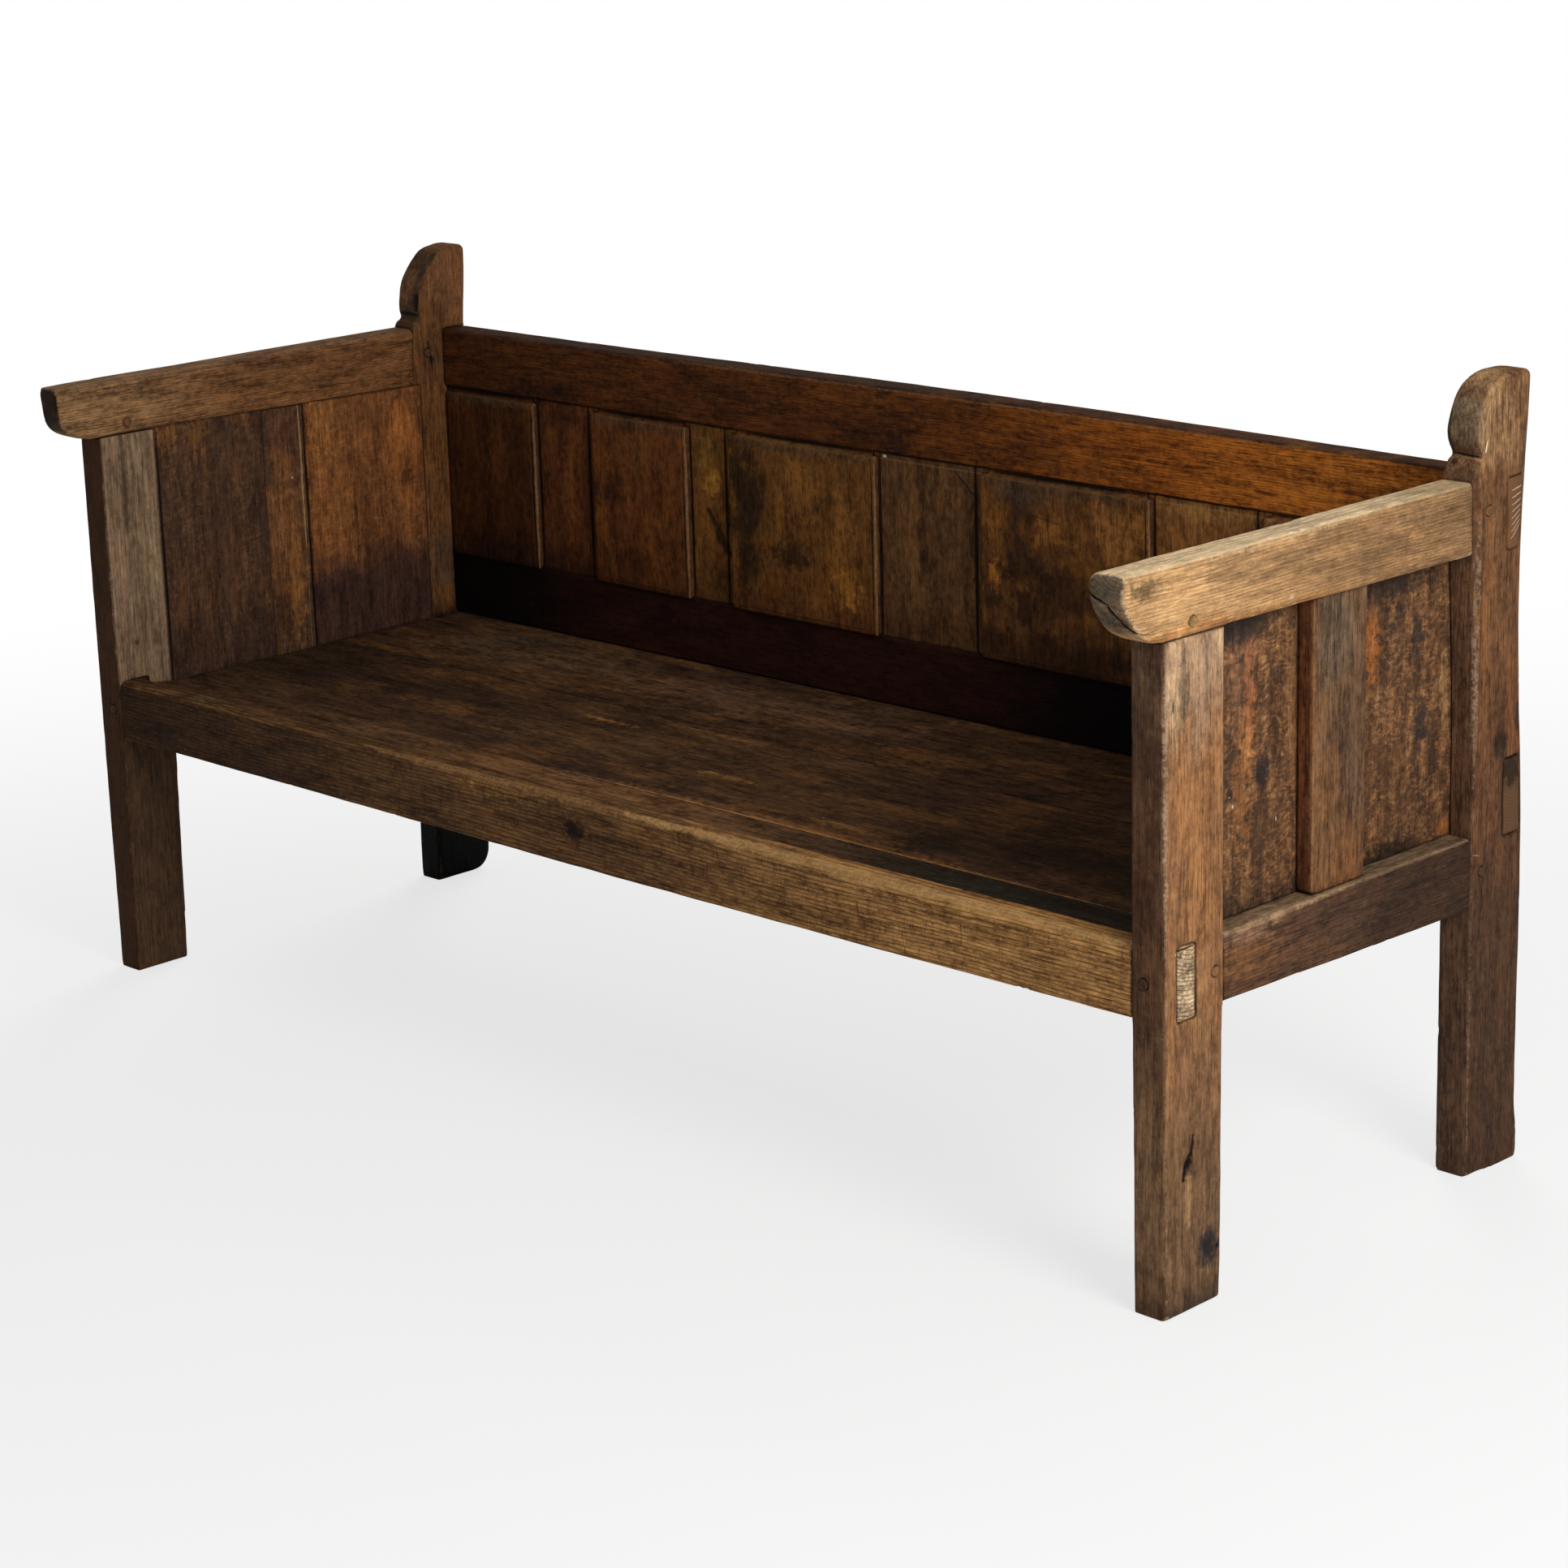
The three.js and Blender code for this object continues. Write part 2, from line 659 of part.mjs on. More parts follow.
// The tenons that tie the two ends together: through tenons on the long rails, blind ones on the rear seat rail.
function joinLongRails(end) {
  const { name, sign } = end;
  const root = endTenonThickness;
  tenon("front_seat_rail", `front_post_${name}`, {
    x: reachRange(sign, frontPostReach - root, outerReach),
    y: [frontRailBack - frontTenonThickness, frontRailBack],
    z: [frontRailBottom, frontRailTop],
  });
  const backTenon = {
    x: reachRange(sign, panelInnerReach - root, outerReach),
    y: [backRailFront, backRailFront + backTenonThickness],
  };
  tenon("back_top_rail", `back_post_${name}`, { ...backTenon, z: [topRailBottom, topRailTop] });
  tenon("back_lower_rail", `back_post_${name}`, { ...backTenon, z: [lowerRailBottom, lowerRailTop] });
  const middle = (seatRailFront + seatRailBack) / 2;
  const top = seatUnderside - jointGap;
  tenon("rear_seat_rail", `back_post_${name}`, {
    x: reachRange(sign, panelInnerReach - root, panelInnerReach + seatRailTenonLength),
    y: [middle - seatRailTenonThickness / 2, middle + seatRailTenonThickness / 2],
    z: [top - seatRailDepth + seatRailTenonShoulder, top - seatRailTenonShoulder],
  });
}

// The pegs of one end, each driven through a joint of the frame.
function pegEnd(end) {
  const { name, sign, postDepth, armNoseDepth } = end;
  const [frontPostName, backPostName] = [`front_post_${name}`, `back_post_${name}`];
  const [armName, railName] = [`arm_${name}`, `side_rail_${name}`];
  const throughFront = reachRange(sign, frontPostReach, outerReach);
  const throughBack = reachRange(sign, panelInnerReach, outerReach);
  const railMiddle = sideRailTop - sideRailFrontDepth / 2;
  const rearRailMiddle = sideRailTop - sideRailRearDepth / 2;

  const armPost = { y: armPostPegSetback, z: armTopHeight - armNoseDepth + armPostPegHeight };
  peg(`peg_arm_front_${name}`, "x", armPost, throughFront, [armName, frontPostName]);
  const armHeel = { y: backPostFront + armHeelPegSetback, z: armTopHeight - armHeelPegDrop };
  peg(`peg_arm_back_${name}`, "x", armHeel, throughBack, [armName, backPostName]);
  const sideFront = { y: postDepth - sideFrontPegSetback, z: railMiddle };
  peg(`peg_side_rail_front_${name}`, "x", sideFront, throughFront, [railName, frontPostName]);
  const sideRear = { y: backPostFront + sideRearPegSetback, z: rearRailMiddle };
  peg(`peg_side_rail_back_${name}`, "x", sideRear, throughBack, [railName, backPostName]);

  const seatPeg = { x: sign * (outerReach - frontPegInset), z: frontRailBottom + frontRailDepth / 2 };
  peg(`peg_seat_rail_${name}`, "y", seatPeg, [-pegProud, frontPegLength], ["front_seat_rail", frontPostName]);
  const backX = sign * (outerReach - backPegInset);
  const fromBehind = [benchDepth - backPegLength, benchDepth];
  const topPeg = { x: backX, z: topRailTop - topRailDepth / 2 };
  peg(`peg_top_rail_${name}`, "y", topPeg, fromBehind, ["back_top_rail", backPostName]);
  const lowerPeg = { x: backX, z: (lowerRailBottom + lowerRailTop) / 2 };
  peg(`peg_lower_rail_${name}`, "y", lowerPeg, fromBehind, ["back_lower_rail", backPostName]);
}

// The frame's pieces, then the joints between them, then what the frame houses, then the pegs.
for (const end of ends) {
  addPiece(`front_post_${end.name}`, frontPost(end), "post");
  addPiece(`back_post_${end.name}`, backPost(end), "post");
  addPiece(`arm_${end.name}`, arm(end), "arm");
  addPiece(`side_rail_${end.name}`, sideRail(end), "rail");
  addPiece(`muntin_${end.name}`, muntin(end), "panel");
}
addPiece("front_seat_rail", frontSeatRail(), "rail");
addPiece("back_top_rail", backRail([topRailBottom, topRailTop]), "backRail");
addPiece("back_lower_rail", backRail([lowerRailBottom, lowerRailTop]), "darkRail");
addPiece("rear_seat_rail", rearSeatRail(), "hidden");
for (const end of ends) {
  joinEnd(end);
  joinLongRails(end);
  addEndPanels(end);
}
cutLongRails();
addBackBoards();
addSeatBoards();
addBearers();
for (const end of ends) pegEnd(end);

// Oiled oak, from the bleached arms to the nearly black lower rail.
const finishes = {
  post: { color: 0x5a4029, roughness: 0.66 },
  arm: { color: 0x7d6040, roughness: 0.72 },
  rail: { color: 0x674627, roughness: 0.64 },
  backRail: { color: 0x5c3719, roughness: 0.6 },
  darkRail: { color: 0x24160f, roughness: 0.62 },
  panel: { color: 0x54351f, roughness: 0.6 },
  board: { color: 0x4a2e17, roughness: 0.6 },
  seat: { color: 0x3d2a1b, roughness: 0.58 },
  peg: { color: 0x33231a, roughness: 0.75 },
  hidden: { color: 0x4b3d30, roughness: 0.85 },
};

const bench = new THREE.Group();
for (const [name, solid] of pieces) {
  const material = new THREE.MeshStandardMaterial({ ...finishes[looks.get(name)], metalness: 0 });
  bench.add(meshOf(name, solid, material));
}

// The origin is under the middle of the bench's box, on the floor.
const box = new THREE.Box3().setFromObject(bench);
const middle = box.getCenter(new THREE.Vector3());
bench.position.set(-middle.x, -middle.y, -box.min.z);

export default bench;
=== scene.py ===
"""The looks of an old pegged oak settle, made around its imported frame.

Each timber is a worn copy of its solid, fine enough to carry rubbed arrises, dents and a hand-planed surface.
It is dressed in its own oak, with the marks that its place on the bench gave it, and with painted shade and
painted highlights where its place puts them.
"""
from __future__ import annotations

import logging
import math
from dataclasses import dataclass, field, replace
from enum import Enum

import bmesh
import bpy
import numpy as np
from mathutils import Matrix, Vector
from mathutils.bvhtree import BVHTree


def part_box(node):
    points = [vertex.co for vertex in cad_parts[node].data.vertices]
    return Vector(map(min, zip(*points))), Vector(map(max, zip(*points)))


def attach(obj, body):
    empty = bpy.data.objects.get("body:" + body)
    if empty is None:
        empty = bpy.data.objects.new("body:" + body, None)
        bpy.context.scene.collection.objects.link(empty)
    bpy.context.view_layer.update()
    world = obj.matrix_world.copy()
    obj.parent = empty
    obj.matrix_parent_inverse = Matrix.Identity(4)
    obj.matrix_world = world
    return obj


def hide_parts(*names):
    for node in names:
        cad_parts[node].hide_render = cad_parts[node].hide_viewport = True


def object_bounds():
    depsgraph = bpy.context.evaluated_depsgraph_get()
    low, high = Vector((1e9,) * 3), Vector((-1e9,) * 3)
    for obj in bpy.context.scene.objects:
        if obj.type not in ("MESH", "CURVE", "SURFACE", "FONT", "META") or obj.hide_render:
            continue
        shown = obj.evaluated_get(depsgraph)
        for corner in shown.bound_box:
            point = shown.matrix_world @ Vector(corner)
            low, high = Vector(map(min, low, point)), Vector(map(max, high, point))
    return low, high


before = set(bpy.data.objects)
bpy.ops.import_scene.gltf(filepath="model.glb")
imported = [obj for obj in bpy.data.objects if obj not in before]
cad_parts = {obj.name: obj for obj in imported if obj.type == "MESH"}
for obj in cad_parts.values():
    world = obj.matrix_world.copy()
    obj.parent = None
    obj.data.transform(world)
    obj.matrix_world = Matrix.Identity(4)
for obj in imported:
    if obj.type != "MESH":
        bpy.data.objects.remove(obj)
SOLID_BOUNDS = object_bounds()

log = logging.getLogger("settle")

MM = 0.001
BODY = "root"

Triple = tuple[float, float, float]


class Grain(Enum):
    """The axis of the bench that a timber's grain runs along."""

    LENGTH = 0
    DEPTH = 1
    HEIGHT = 2

    @property
    def order(self) -> tuple[int, int, int]:
        """The object axes in the order across, across, along."""
        others = [axis for axis in range(3) if axis != self.value]
        return others[0], others[1], self.value


class Face(Enum):
    """A side of a timber, by the way that it faces."""

    FRONT = (0.0, -1.0, 0.0)
    BACK = (0.0, 1.0, 0.0)
    LEFT = (-1.0, 0.0, 0.0)
    RIGHT = (1.0, 0.0, 0.0)
    TOP = (0.0, 0.0, 1.0)


class Side(Enum):
    """An end of the bench, as a person who faces it sees it."""

    LEFT = "left"
    RIGHT = "right"


def linear(colour: str) -> tuple[float, float, float, float]:
    """A colour written as #rrggbb in the linear values that a shader takes."""
    parts = [int(colour[i:i + 2], 16) / 255 for i in (1, 3, 5)]
    return (*(p / 12.92 if p <= 0.04045 else ((p + 0.055) / 1.055) ** 2.4 for p in parts), 1.0)


def steps(values: np.ndarray, low: float | np.ndarray, high: float | np.ndarray) -> np.ndarray:
    """A smooth step of numbers from 0 at low to 1 at high."""
    t = np.clip((values - low) / (high - low), 0, 1)
    return t * t * (3 - 2 * t)


def hollow(points: np.ndarray, middle: Triple | np.ndarray, reach: Triple | np.ndarray) -> np.ndarray:
    """How near points lie to the middle of a reach: 1 in the middle, and 0 from the reach's end on."""
    return 1 - steps(np.linalg.norm((points - middle) / reach, axis=1), 0, 1)


def read(rows: bpy.types.bpy_prop_collection, name: str, width: int, kind: type = float) -> np.ndarray:
    """Reads one property of a mesh's vertices, edges or triangles.

    Args:
        rows: the vertices, edges or triangles.
        name: the property's name.
        width: how many numbers it has.
        kind: the type of these numbers.

    Returns:
        The numbers, with a row for each vertex, edge or triangle.
    """
    flat = np.empty(len(rows) * width, dtype=kind)
    rows.foreach_get(name, flat)
    return flat.reshape(-1, width)


def meshed(name: str, edit: bmesh.types.BMesh) -> bpy.types.Mesh:
    """Turns a finished bmesh into a mesh, and frees it.

    Args:
        name: the mesh's name.
        edit: the bmesh.

    Returns:
        The mesh.
    """
    mesh = bpy.data.meshes.new(name)
    edit.to_mesh(mesh)
    edit.free()
    return mesh


def linked(name: str, data: bpy.types.ID) -> bpy.types.Object:
    """Adds an object to the scene.

    Args:
        name: its name.
        data: the mesh, light or camera that it is made of.

    Returns:
        The object.
    """
    made = bpy.data.objects.new(name, data)
    bpy.context.scene.collection.objects.link(made)
    return made


class Wire:
    """An output socket of a shader that takes part in Python sums."""

    vector_types = ("VECTOR", "RGBA")
    number_results = ("LENGTH", "DOT_PRODUCT")

    def __init__(self, shader: Shader, socket: bpy.types.NodeSocket | None) -> None:
        """Wraps one output socket.

        Args:
            shader: the shader that holds the socket's node.
            socket: the output socket, or none for the node that ends a shader.
        """
        self.shader = shader
        self.socket = socket

    @property
    def is_vector(self) -> bool:
        """Whether the socket carries a vector or a colour."""
        return self.socket.type in self.vector_types

    def _sum(self, operation: str, *operands: Wire | float | tuple) -> Wire:
        """Adds one Math or Vector Math node.

        Args:
            operation: the node's operation.
            operands: what goes into its inputs, in order.

        Returns:
            The node's result.
        """
        of_vectors = any(operand.is_vector if isinstance(operand, Wire) else isinstance(operand, tuple)
                         for operand in operands)
        kind = "ShaderNodeVectorMath" if of_vectors else "ShaderNodeMath"
        output = "Value" if operation in self.number_results else 0
        return self.shader.node(kind, {"operation": operation}, dict(enumerate(operands)), output)

    def __add__(self, other: Wire | float | tuple) -> Wire:
        """This plus another."""
        return self._sum("ADD", self, other)

    __radd__ = __add__

    def __sub__(self, other: Wire | float | tuple) -> Wire:
        """This less another."""
        return self._sum("SUBTRACT", self, other)

    def __rsub__(self, other: Wire | float | tuple) -> Wire:
        """Another less this."""
        return self._sum("SUBTRACT", other, self)

    def __mul__(self, other: Wire | float | tuple) -> Wire:
        """This times another."""
        return self._sum("MULTIPLY", self, other)

    __rmul__ = __mul__

    def __truediv__(self, other: Wire | float | tuple) -> Wire:
        """This divided by another."""
        return self._sum("DIVIDE", self, other)

    def length(self) -> Wire:
        """The length of a vector."""
        return self._sum("LENGTH", self)

    def dot(self, other: Wire | tuple) -> Wire:
        """The dot product of two vectors."""
        return self._sum("DOT_PRODUCT", self, other)

    def fraction(self) -> Wire:
        """What is left of a number above the whole below it."""
        return self._sum("FRACT", self)

    def larger(self, other: Wire | float) -> Wire:
        """The larger of two numbers."""
        return self._sum("MAXIMUM", self, other)

    def smaller(self, other: Wire | float) -> Wire:
        """The smaller of two numbers."""
        return self._sum("MINIMUM", self, other)

    def rise(self, low: float, high: float) -> Wire:
        """A smooth step from 0 at low to 1 at high, or falling where low is the larger.

        Args:
            low: where the step is still 0.
            high: where it has come to 1.

        Returns:
            The step.
        """
        is_falling = low > high
        inputs = {"Value": self, "From Min": min(low, high), "From Max": max(low, high),
                  "To Min": float(is_falling), "To Max": float(not is_falling)}
        return self.shader.node("ShaderNodeMapRange", {"interpolation_type": "SMOOTHSTEP"}, inputs, "Result")


@dataclass(frozen=True)
class Layer:
    """A layer of cloudy noise.

    Size is how wide a lump is across the grain, in millimetres, and stretch how many times longer it is along
    it. Detail is how many finer lumps lie in it, and rough how strong they are. Away is where it is read, in
    metres from the real place, so that two layers never look alike.
    """

    size: float
    stretch: float = 1.0
    detail: float = 3.0
    rough: float = 0.55
    away: Triple | None = None

    def scaled(self, by: float) -> Layer:
        """The same layer with larger or smaller lumps."""
        return replace(self, size=self.size * by)


class Shader:
    """The node tree of a material or of the world, under construction.

    A Mix node has sockets of the same names for numbers, vectors and colours, so those for colours go by
    number.
    """

    mix_share = 0
    mix_under = 6
    mix_over = 7
    mix_colour = 2

    def __init__(self, owner: bpy.types.Material | bpy.types.World) -> None:
        """Empties the tree of its owner.

        Args:
            owner: the new material or world.
        """
        owner.use_nodes = True
        self.owner = owner
        self.tree = owner.node_tree
        self.tree.nodes.clear()

    def plug(self, socket: bpy.types.NodeSocket, value: Wire | float | tuple) -> None:
        """Links a wire to a socket, or sets the socket's own value.

        Args:
            socket: the input socket.
            value: a wire, or a number or tuple that suits the socket.
        """
        if isinstance(value, Wire):
            self.tree.links.new(value.socket, socket)
        elif socket.type == "VECTOR" and not isinstance(value, tuple):
            socket.default_value = (value,) * 3
        else:
            socket.default_value = value

    def node(self, kind: str, settings: dict | None = None, inputs: dict | None = None,
             output: int | str = 0) -> Wire:
        """Adds any node.

        Args:
            kind: the node's type.
            settings: what is set on the node itself, first.
            inputs: wires or values for its sockets, by name or number.
            output: which output comes back.

        Returns:
            The chosen output.
        """
        made = self.tree.nodes.new(kind)
        for key, value in (settings or {}).items():
            setattr(made, key, value)
        for key, value in (inputs or {}).items():
            self.plug(made.inputs[key], value)
        return Wire(self, made.outputs[output] if made.outputs else None)

    def mix(self, under: Wire | str | tuple, over: Wire | str | tuple, share: Wire | float) -> Wire:
        """One colour over another.

        Args:
            under: the colour at a share of 0.
            over: the colour at a share of 1.
            share: how much of the second shows.

        Returns:
            The mixed colour.
        """
        a, b = (linear(colour) if isinstance(colour, str) else colour for colour in (under, over))
        inputs = {self.mix_share: share, self.mix_under: a, self.mix_over: b}
        return self.node("ShaderNodeMix", {"data_type": "RGBA"}, inputs, self.mix_colour)

    def noise(self, point: Wire, layer: Layer, output: str = "Fac") -> Wire:
        """Reads a layer of noise.

        Args:
            point: where it is read, with the grain along its third axis, in metres.
            layer: the layer.
            output: Fac for a number, Color for three.

        Returns:
            The noise, from 0 to 1.
        """
        width = layer.size * MM
        place = point + layer.away if layer.away else point
        scaled = place * (1 / width, 1 / width, 1 / (width * layer.stretch))
        inputs = {"Vector": scaled, "Scale": 1.0, "Detail": layer.detail, "Roughness": layer.rough}
        return self.node("ShaderNodeTexNoise", {}, inputs, output)

    def finish(self, colour: Wire, roughness: Wire | float, height: Wire, sheen: float) -> bpy.types.Material:
        """Ends the material in one principled surface.

        Args:
            colour: its base colour.
            roughness: its roughness.
            height: the relief of its surface, in metres.
            sheen: how strongly it reflects at a glance.

        Returns:
            The finished material.
        """
        relief = self.node("ShaderNodeBump", {}, {"Strength": 1.0, "Distance": 1.0, "Height": height})
        inputs = {"Base Color": colour, "Roughness": roughness, "Specular IOR Level": sheen, "Normal": relief}
        surface = self.node("ShaderNodeBsdfPrincipled", {}, inputs)
        self.node("ShaderNodeOutputMaterial", {}, {"Surface": surface})
        return self.owner


@dataclass(frozen=True)
class OakFinish:
    """The colours and the surface of one kind of old oak. Sizes are in millimetres, the rest are shares."""

    body: str
    warm: str
    worn: str
    smoke: str = "#231812"
    # the dark of pores, rings and checks, and of the soiling and painted shade in corners and joints
    grime_and_shade: str = "#150d08"
    contrast: float = 1.0
    warm_share: float = 0.4
    smoke_share: float = 0.4
    cloud_size: float = 55.0
    fleck: str | None = None
    fleck_share: float = 0.6
    fleck_size: float = 6.0
    ring: float = 0.16
    ring_gap: float = 4.0
    pore: float = 0.4
    streak: float = 0.22
    check: float = 0.0
    scuff: float = 0.25
    rub: float = 0.45
    # how strongly corners and joints darken with soiling and painted shade
    soiling_and_shade: float = 0.7
    roughness: float = 0.68
    sheen: float = 0.14
    relief: float = 1.0


@dataclass(frozen=True)
class Stain:
    """A patch of another colour, under the grain or covering it.

    Its place is in shares of the timber's box, its reach in millimetres.
    """

    at: Triple
    reach: Triple
    colour: str
    strength: float = 0.8
    ragged: float = 0.6
    covers: bool = False

    large = 28.0
    edge = (1.15, 0.4)
    raggedness = 3.2

    def mask(self, oak: OakShader) -> Wire:
        """Where the stain shows, with an edge as ragged as it says.

        Args:
            oak: the oak that it lies on.

        Returns:
            The mask, from 0 to 1.
        """
        away = ((oak.place - oak.timber.spot(self.at)) / tuple(r * MM for r in self.reach)).length()
        middling = sorted(self.reach)[1]
        cloud = oak.wide_cloud if middling > self.large else oak.fine_cloud
        return (away + (cloud - 0.5) * (self.raggedness * self.ragged)).rise(*self.edge)


@dataclass(frozen=True)
class Line:
    """A crack, a scratch, a rubbed arris, or a line of painted shade or painted highlight, from one place to
    another in shares of the timber's box.

    Width, wander and depth are in millimetres. A line may be broken up, and it may be cut into the wood.
    """

    start: Triple
    end: Triple
    colour: str = "#0b0705"
    width: float = 1.2
    strength: float = 0.95
    wander: float = 4.0
    broken: float = 0.0
    depth: float = 0.0
    inward: float = 0.15

    inward_at_arris = 0.6
    core = 0.35
    taper = 2.4
    gap_step = (0.42, 0.54)

    @property
    def weights(self) -> Triple:
        """How much a distance from the line counts along each axis.

        Returns:
            1 along a face, and less along an axis that leads into the wood from the line's face.
        """
        on_faces = [a == b and a in (0, 1) for a, b in zip(self.start, self.end)]
        inward = self.inward if sum(on_faces) == 1 else self.inward_at_arris
        return tuple(inward if on_face else 1.0 for on_face in on_faces)

    def mask(self, oak: OakShader) -> Wire:
        """Where the line shows, wandering and thinner towards its ends.

        Args:
            oak: the oak that it lies on.

        Returns:
            The mask, from 0 to 1.
        """
        start, end = (Vector(oak.timber.spot(place)) for place in (self.start, self.end))
        run = end - start
        offset = (oak.rough_place(self.wander) - tuple(start)) * self.weights
        along = offset.dot(tuple(run / run.length_squared)).larger(0.0).smaller(1.0)
        nearest = oak.shader.node("ShaderNodeVectorMath", {"operation": "SCALE"}, {0: tuple(run), 3: along})
        thinning = 1 - (along - 0.5) * (along - 0.5) * self.taper
        width = self.width * MM
        whole = ((offset - nearest).length() / thinning).rise(width, self.core * width)
        if not self.broken:
            return whole
        gaps = (oak.fine_cloud * 0.5 + oak.chip_cloud * 0.5).rise(*self.gap_step)
        return whole * (1 - gaps * self.broken)


@dataclass(frozen=True)
class Knot:
    """A knot that the grain runs round, in shares of the timber's box, its radius in millimetres."""

    at: Triple
    radius: float
    colour: str = "#1a0f09"
    strength: float = 0.85

    reach = 2.6
    raggedness = 2.0
    heart = (0.55, 0.9)

    def mask(self, oak: OakShader) -> Wire:
        """How strongly the knot pushes the grain aside at a place.

        Args:
            oak: the oak that it grew in.

        Returns:
            The mask, from 0 to 1.
        """
        away = ((oak.place - oak.timber.spot(self.at)) / (self.radius * MM)).length()
        return (away + (oak.fine_cloud - 0.5) * self.raggedness).rise(self.reach, 0.0)


@dataclass(frozen=True)
class Tint:
    """A colour of one side of a timber, under the grain or covering it: one that the side has taken on, or
    painted shade on a side turned away from the light.
    """

    face: Face
    colour: str
    strength: float = 0.6
    patchy: float = 0.5
    covers: bool = False

    facing_step = (0.35, 0.8)
    patch_step = (0.42, 0.62)

    def mask(self, oak: OakShader) -> Wire:
        """Where the side has the tint, patchy as old polish is.

        Args:
            oak: the oak that it lies on.

        Returns:
            The mask, from 0 to 1.
        """
        facing = oak.shader.node("ShaderNodeNewGeometry", output="Normal").dot(self.face.value)
        return facing.rise(*self.facing_step) * (1 - self.patchy * oak.wide_cloud.rise(*self.patch_step))


@dataclass(frozen=True)
class Fade:
    """A colour that comes on along an axis, between two shares of the timber's box."""

    axis: int
    start: float
    end: float
    colour: str
    strength: float = 0.7

    longest_edge = 0.15
    raggedness = 1.4

    def mask(self, oak: OakShader) -> Wire:
        """How far the colour has come on at a place, with a cloudy edge.

        Args:
            oak: the oak that it lies on.

        Returns:
            The mask, from 0 to 1.
        """
        low, high = oak.timber.box
        axis = self.axis
        pick = tuple(float(i == axis) for i in range(3))
        ends = [low[axis] + share * (high[axis] - low[axis]) for share in (self.start, self.end)]
        edge = self.raggedness * min(abs(ends[1] - ends[0]), self.longest_edge)
        return (oak.place.dot(pick) + (oak.wide_cloud - 0.5) * edge).rise(*ends)


@dataclass(frozen=True)
class Dent:
    """A hollow worn or knocked into a timber, in shares of its box, its reach and depth in millimetres."""

    at: Triple
    reach: Triple
    depth: float


Mark = Stain | Line | Knot | Tint | Fade | Dent


@dataclass(frozen=True)
class Bend:
    """A place where the old bench has moved.

    Its middle, its reach and its movement are in millimetres of the bench.
    """

    at: Triple
    reach: Triple
    move: Triple

    def shift(self, points: np.ndarray) -> np.ndarray:
        """How far each point has moved, in metres."""
        return hollow(points / MM, self.at, self.reach)[:, None] * np.array(self.move) * MM


BENDS = (
    Bend((926, 255, 880), (120, 110, 380), (0, -15, 0)),
    Bend((926, 275, 945), (90, 70, 50), (0, -10, 3)),
    Bend((950, 362, 700), (40, 40, 330), (-7, -5.5, 0)),
    Bend((950, 340, 15), (70, 60, 60), (0, 12, -12)),
    Bend((-926, 261, 890), (110, 75, 110), (0, 11, 0)),
    Bend((-904, 350, 910), (90, 90, 130), (6, 0, 0)),
    Bend((-926, 330, 950), (200, 120, 120), (6, 0, 0)),
    Bend((100, 345, 832), (850, 120, 84), (0, 0, 5)),
    Bend((250, -270, 334), (1100, 90, 70), (0, 0, -4.5)),
    Bend((-950, -362, 800), (70, 60, 90), (5.5, 5, 0)),
    Bend((950, -196, 40), (60, 60, 330), (0, 5, 0)),
)


def bent(points: np.ndarray) -> np.ndarray:
    """Points of any piece after all bends of the bench, none of them outside its box."""
    low, high = (np.array(corner) for corner in SOLID_BOUNDS)
    return np.clip(points + sum(bend.shift(points) for bend in BENDS), low, high)


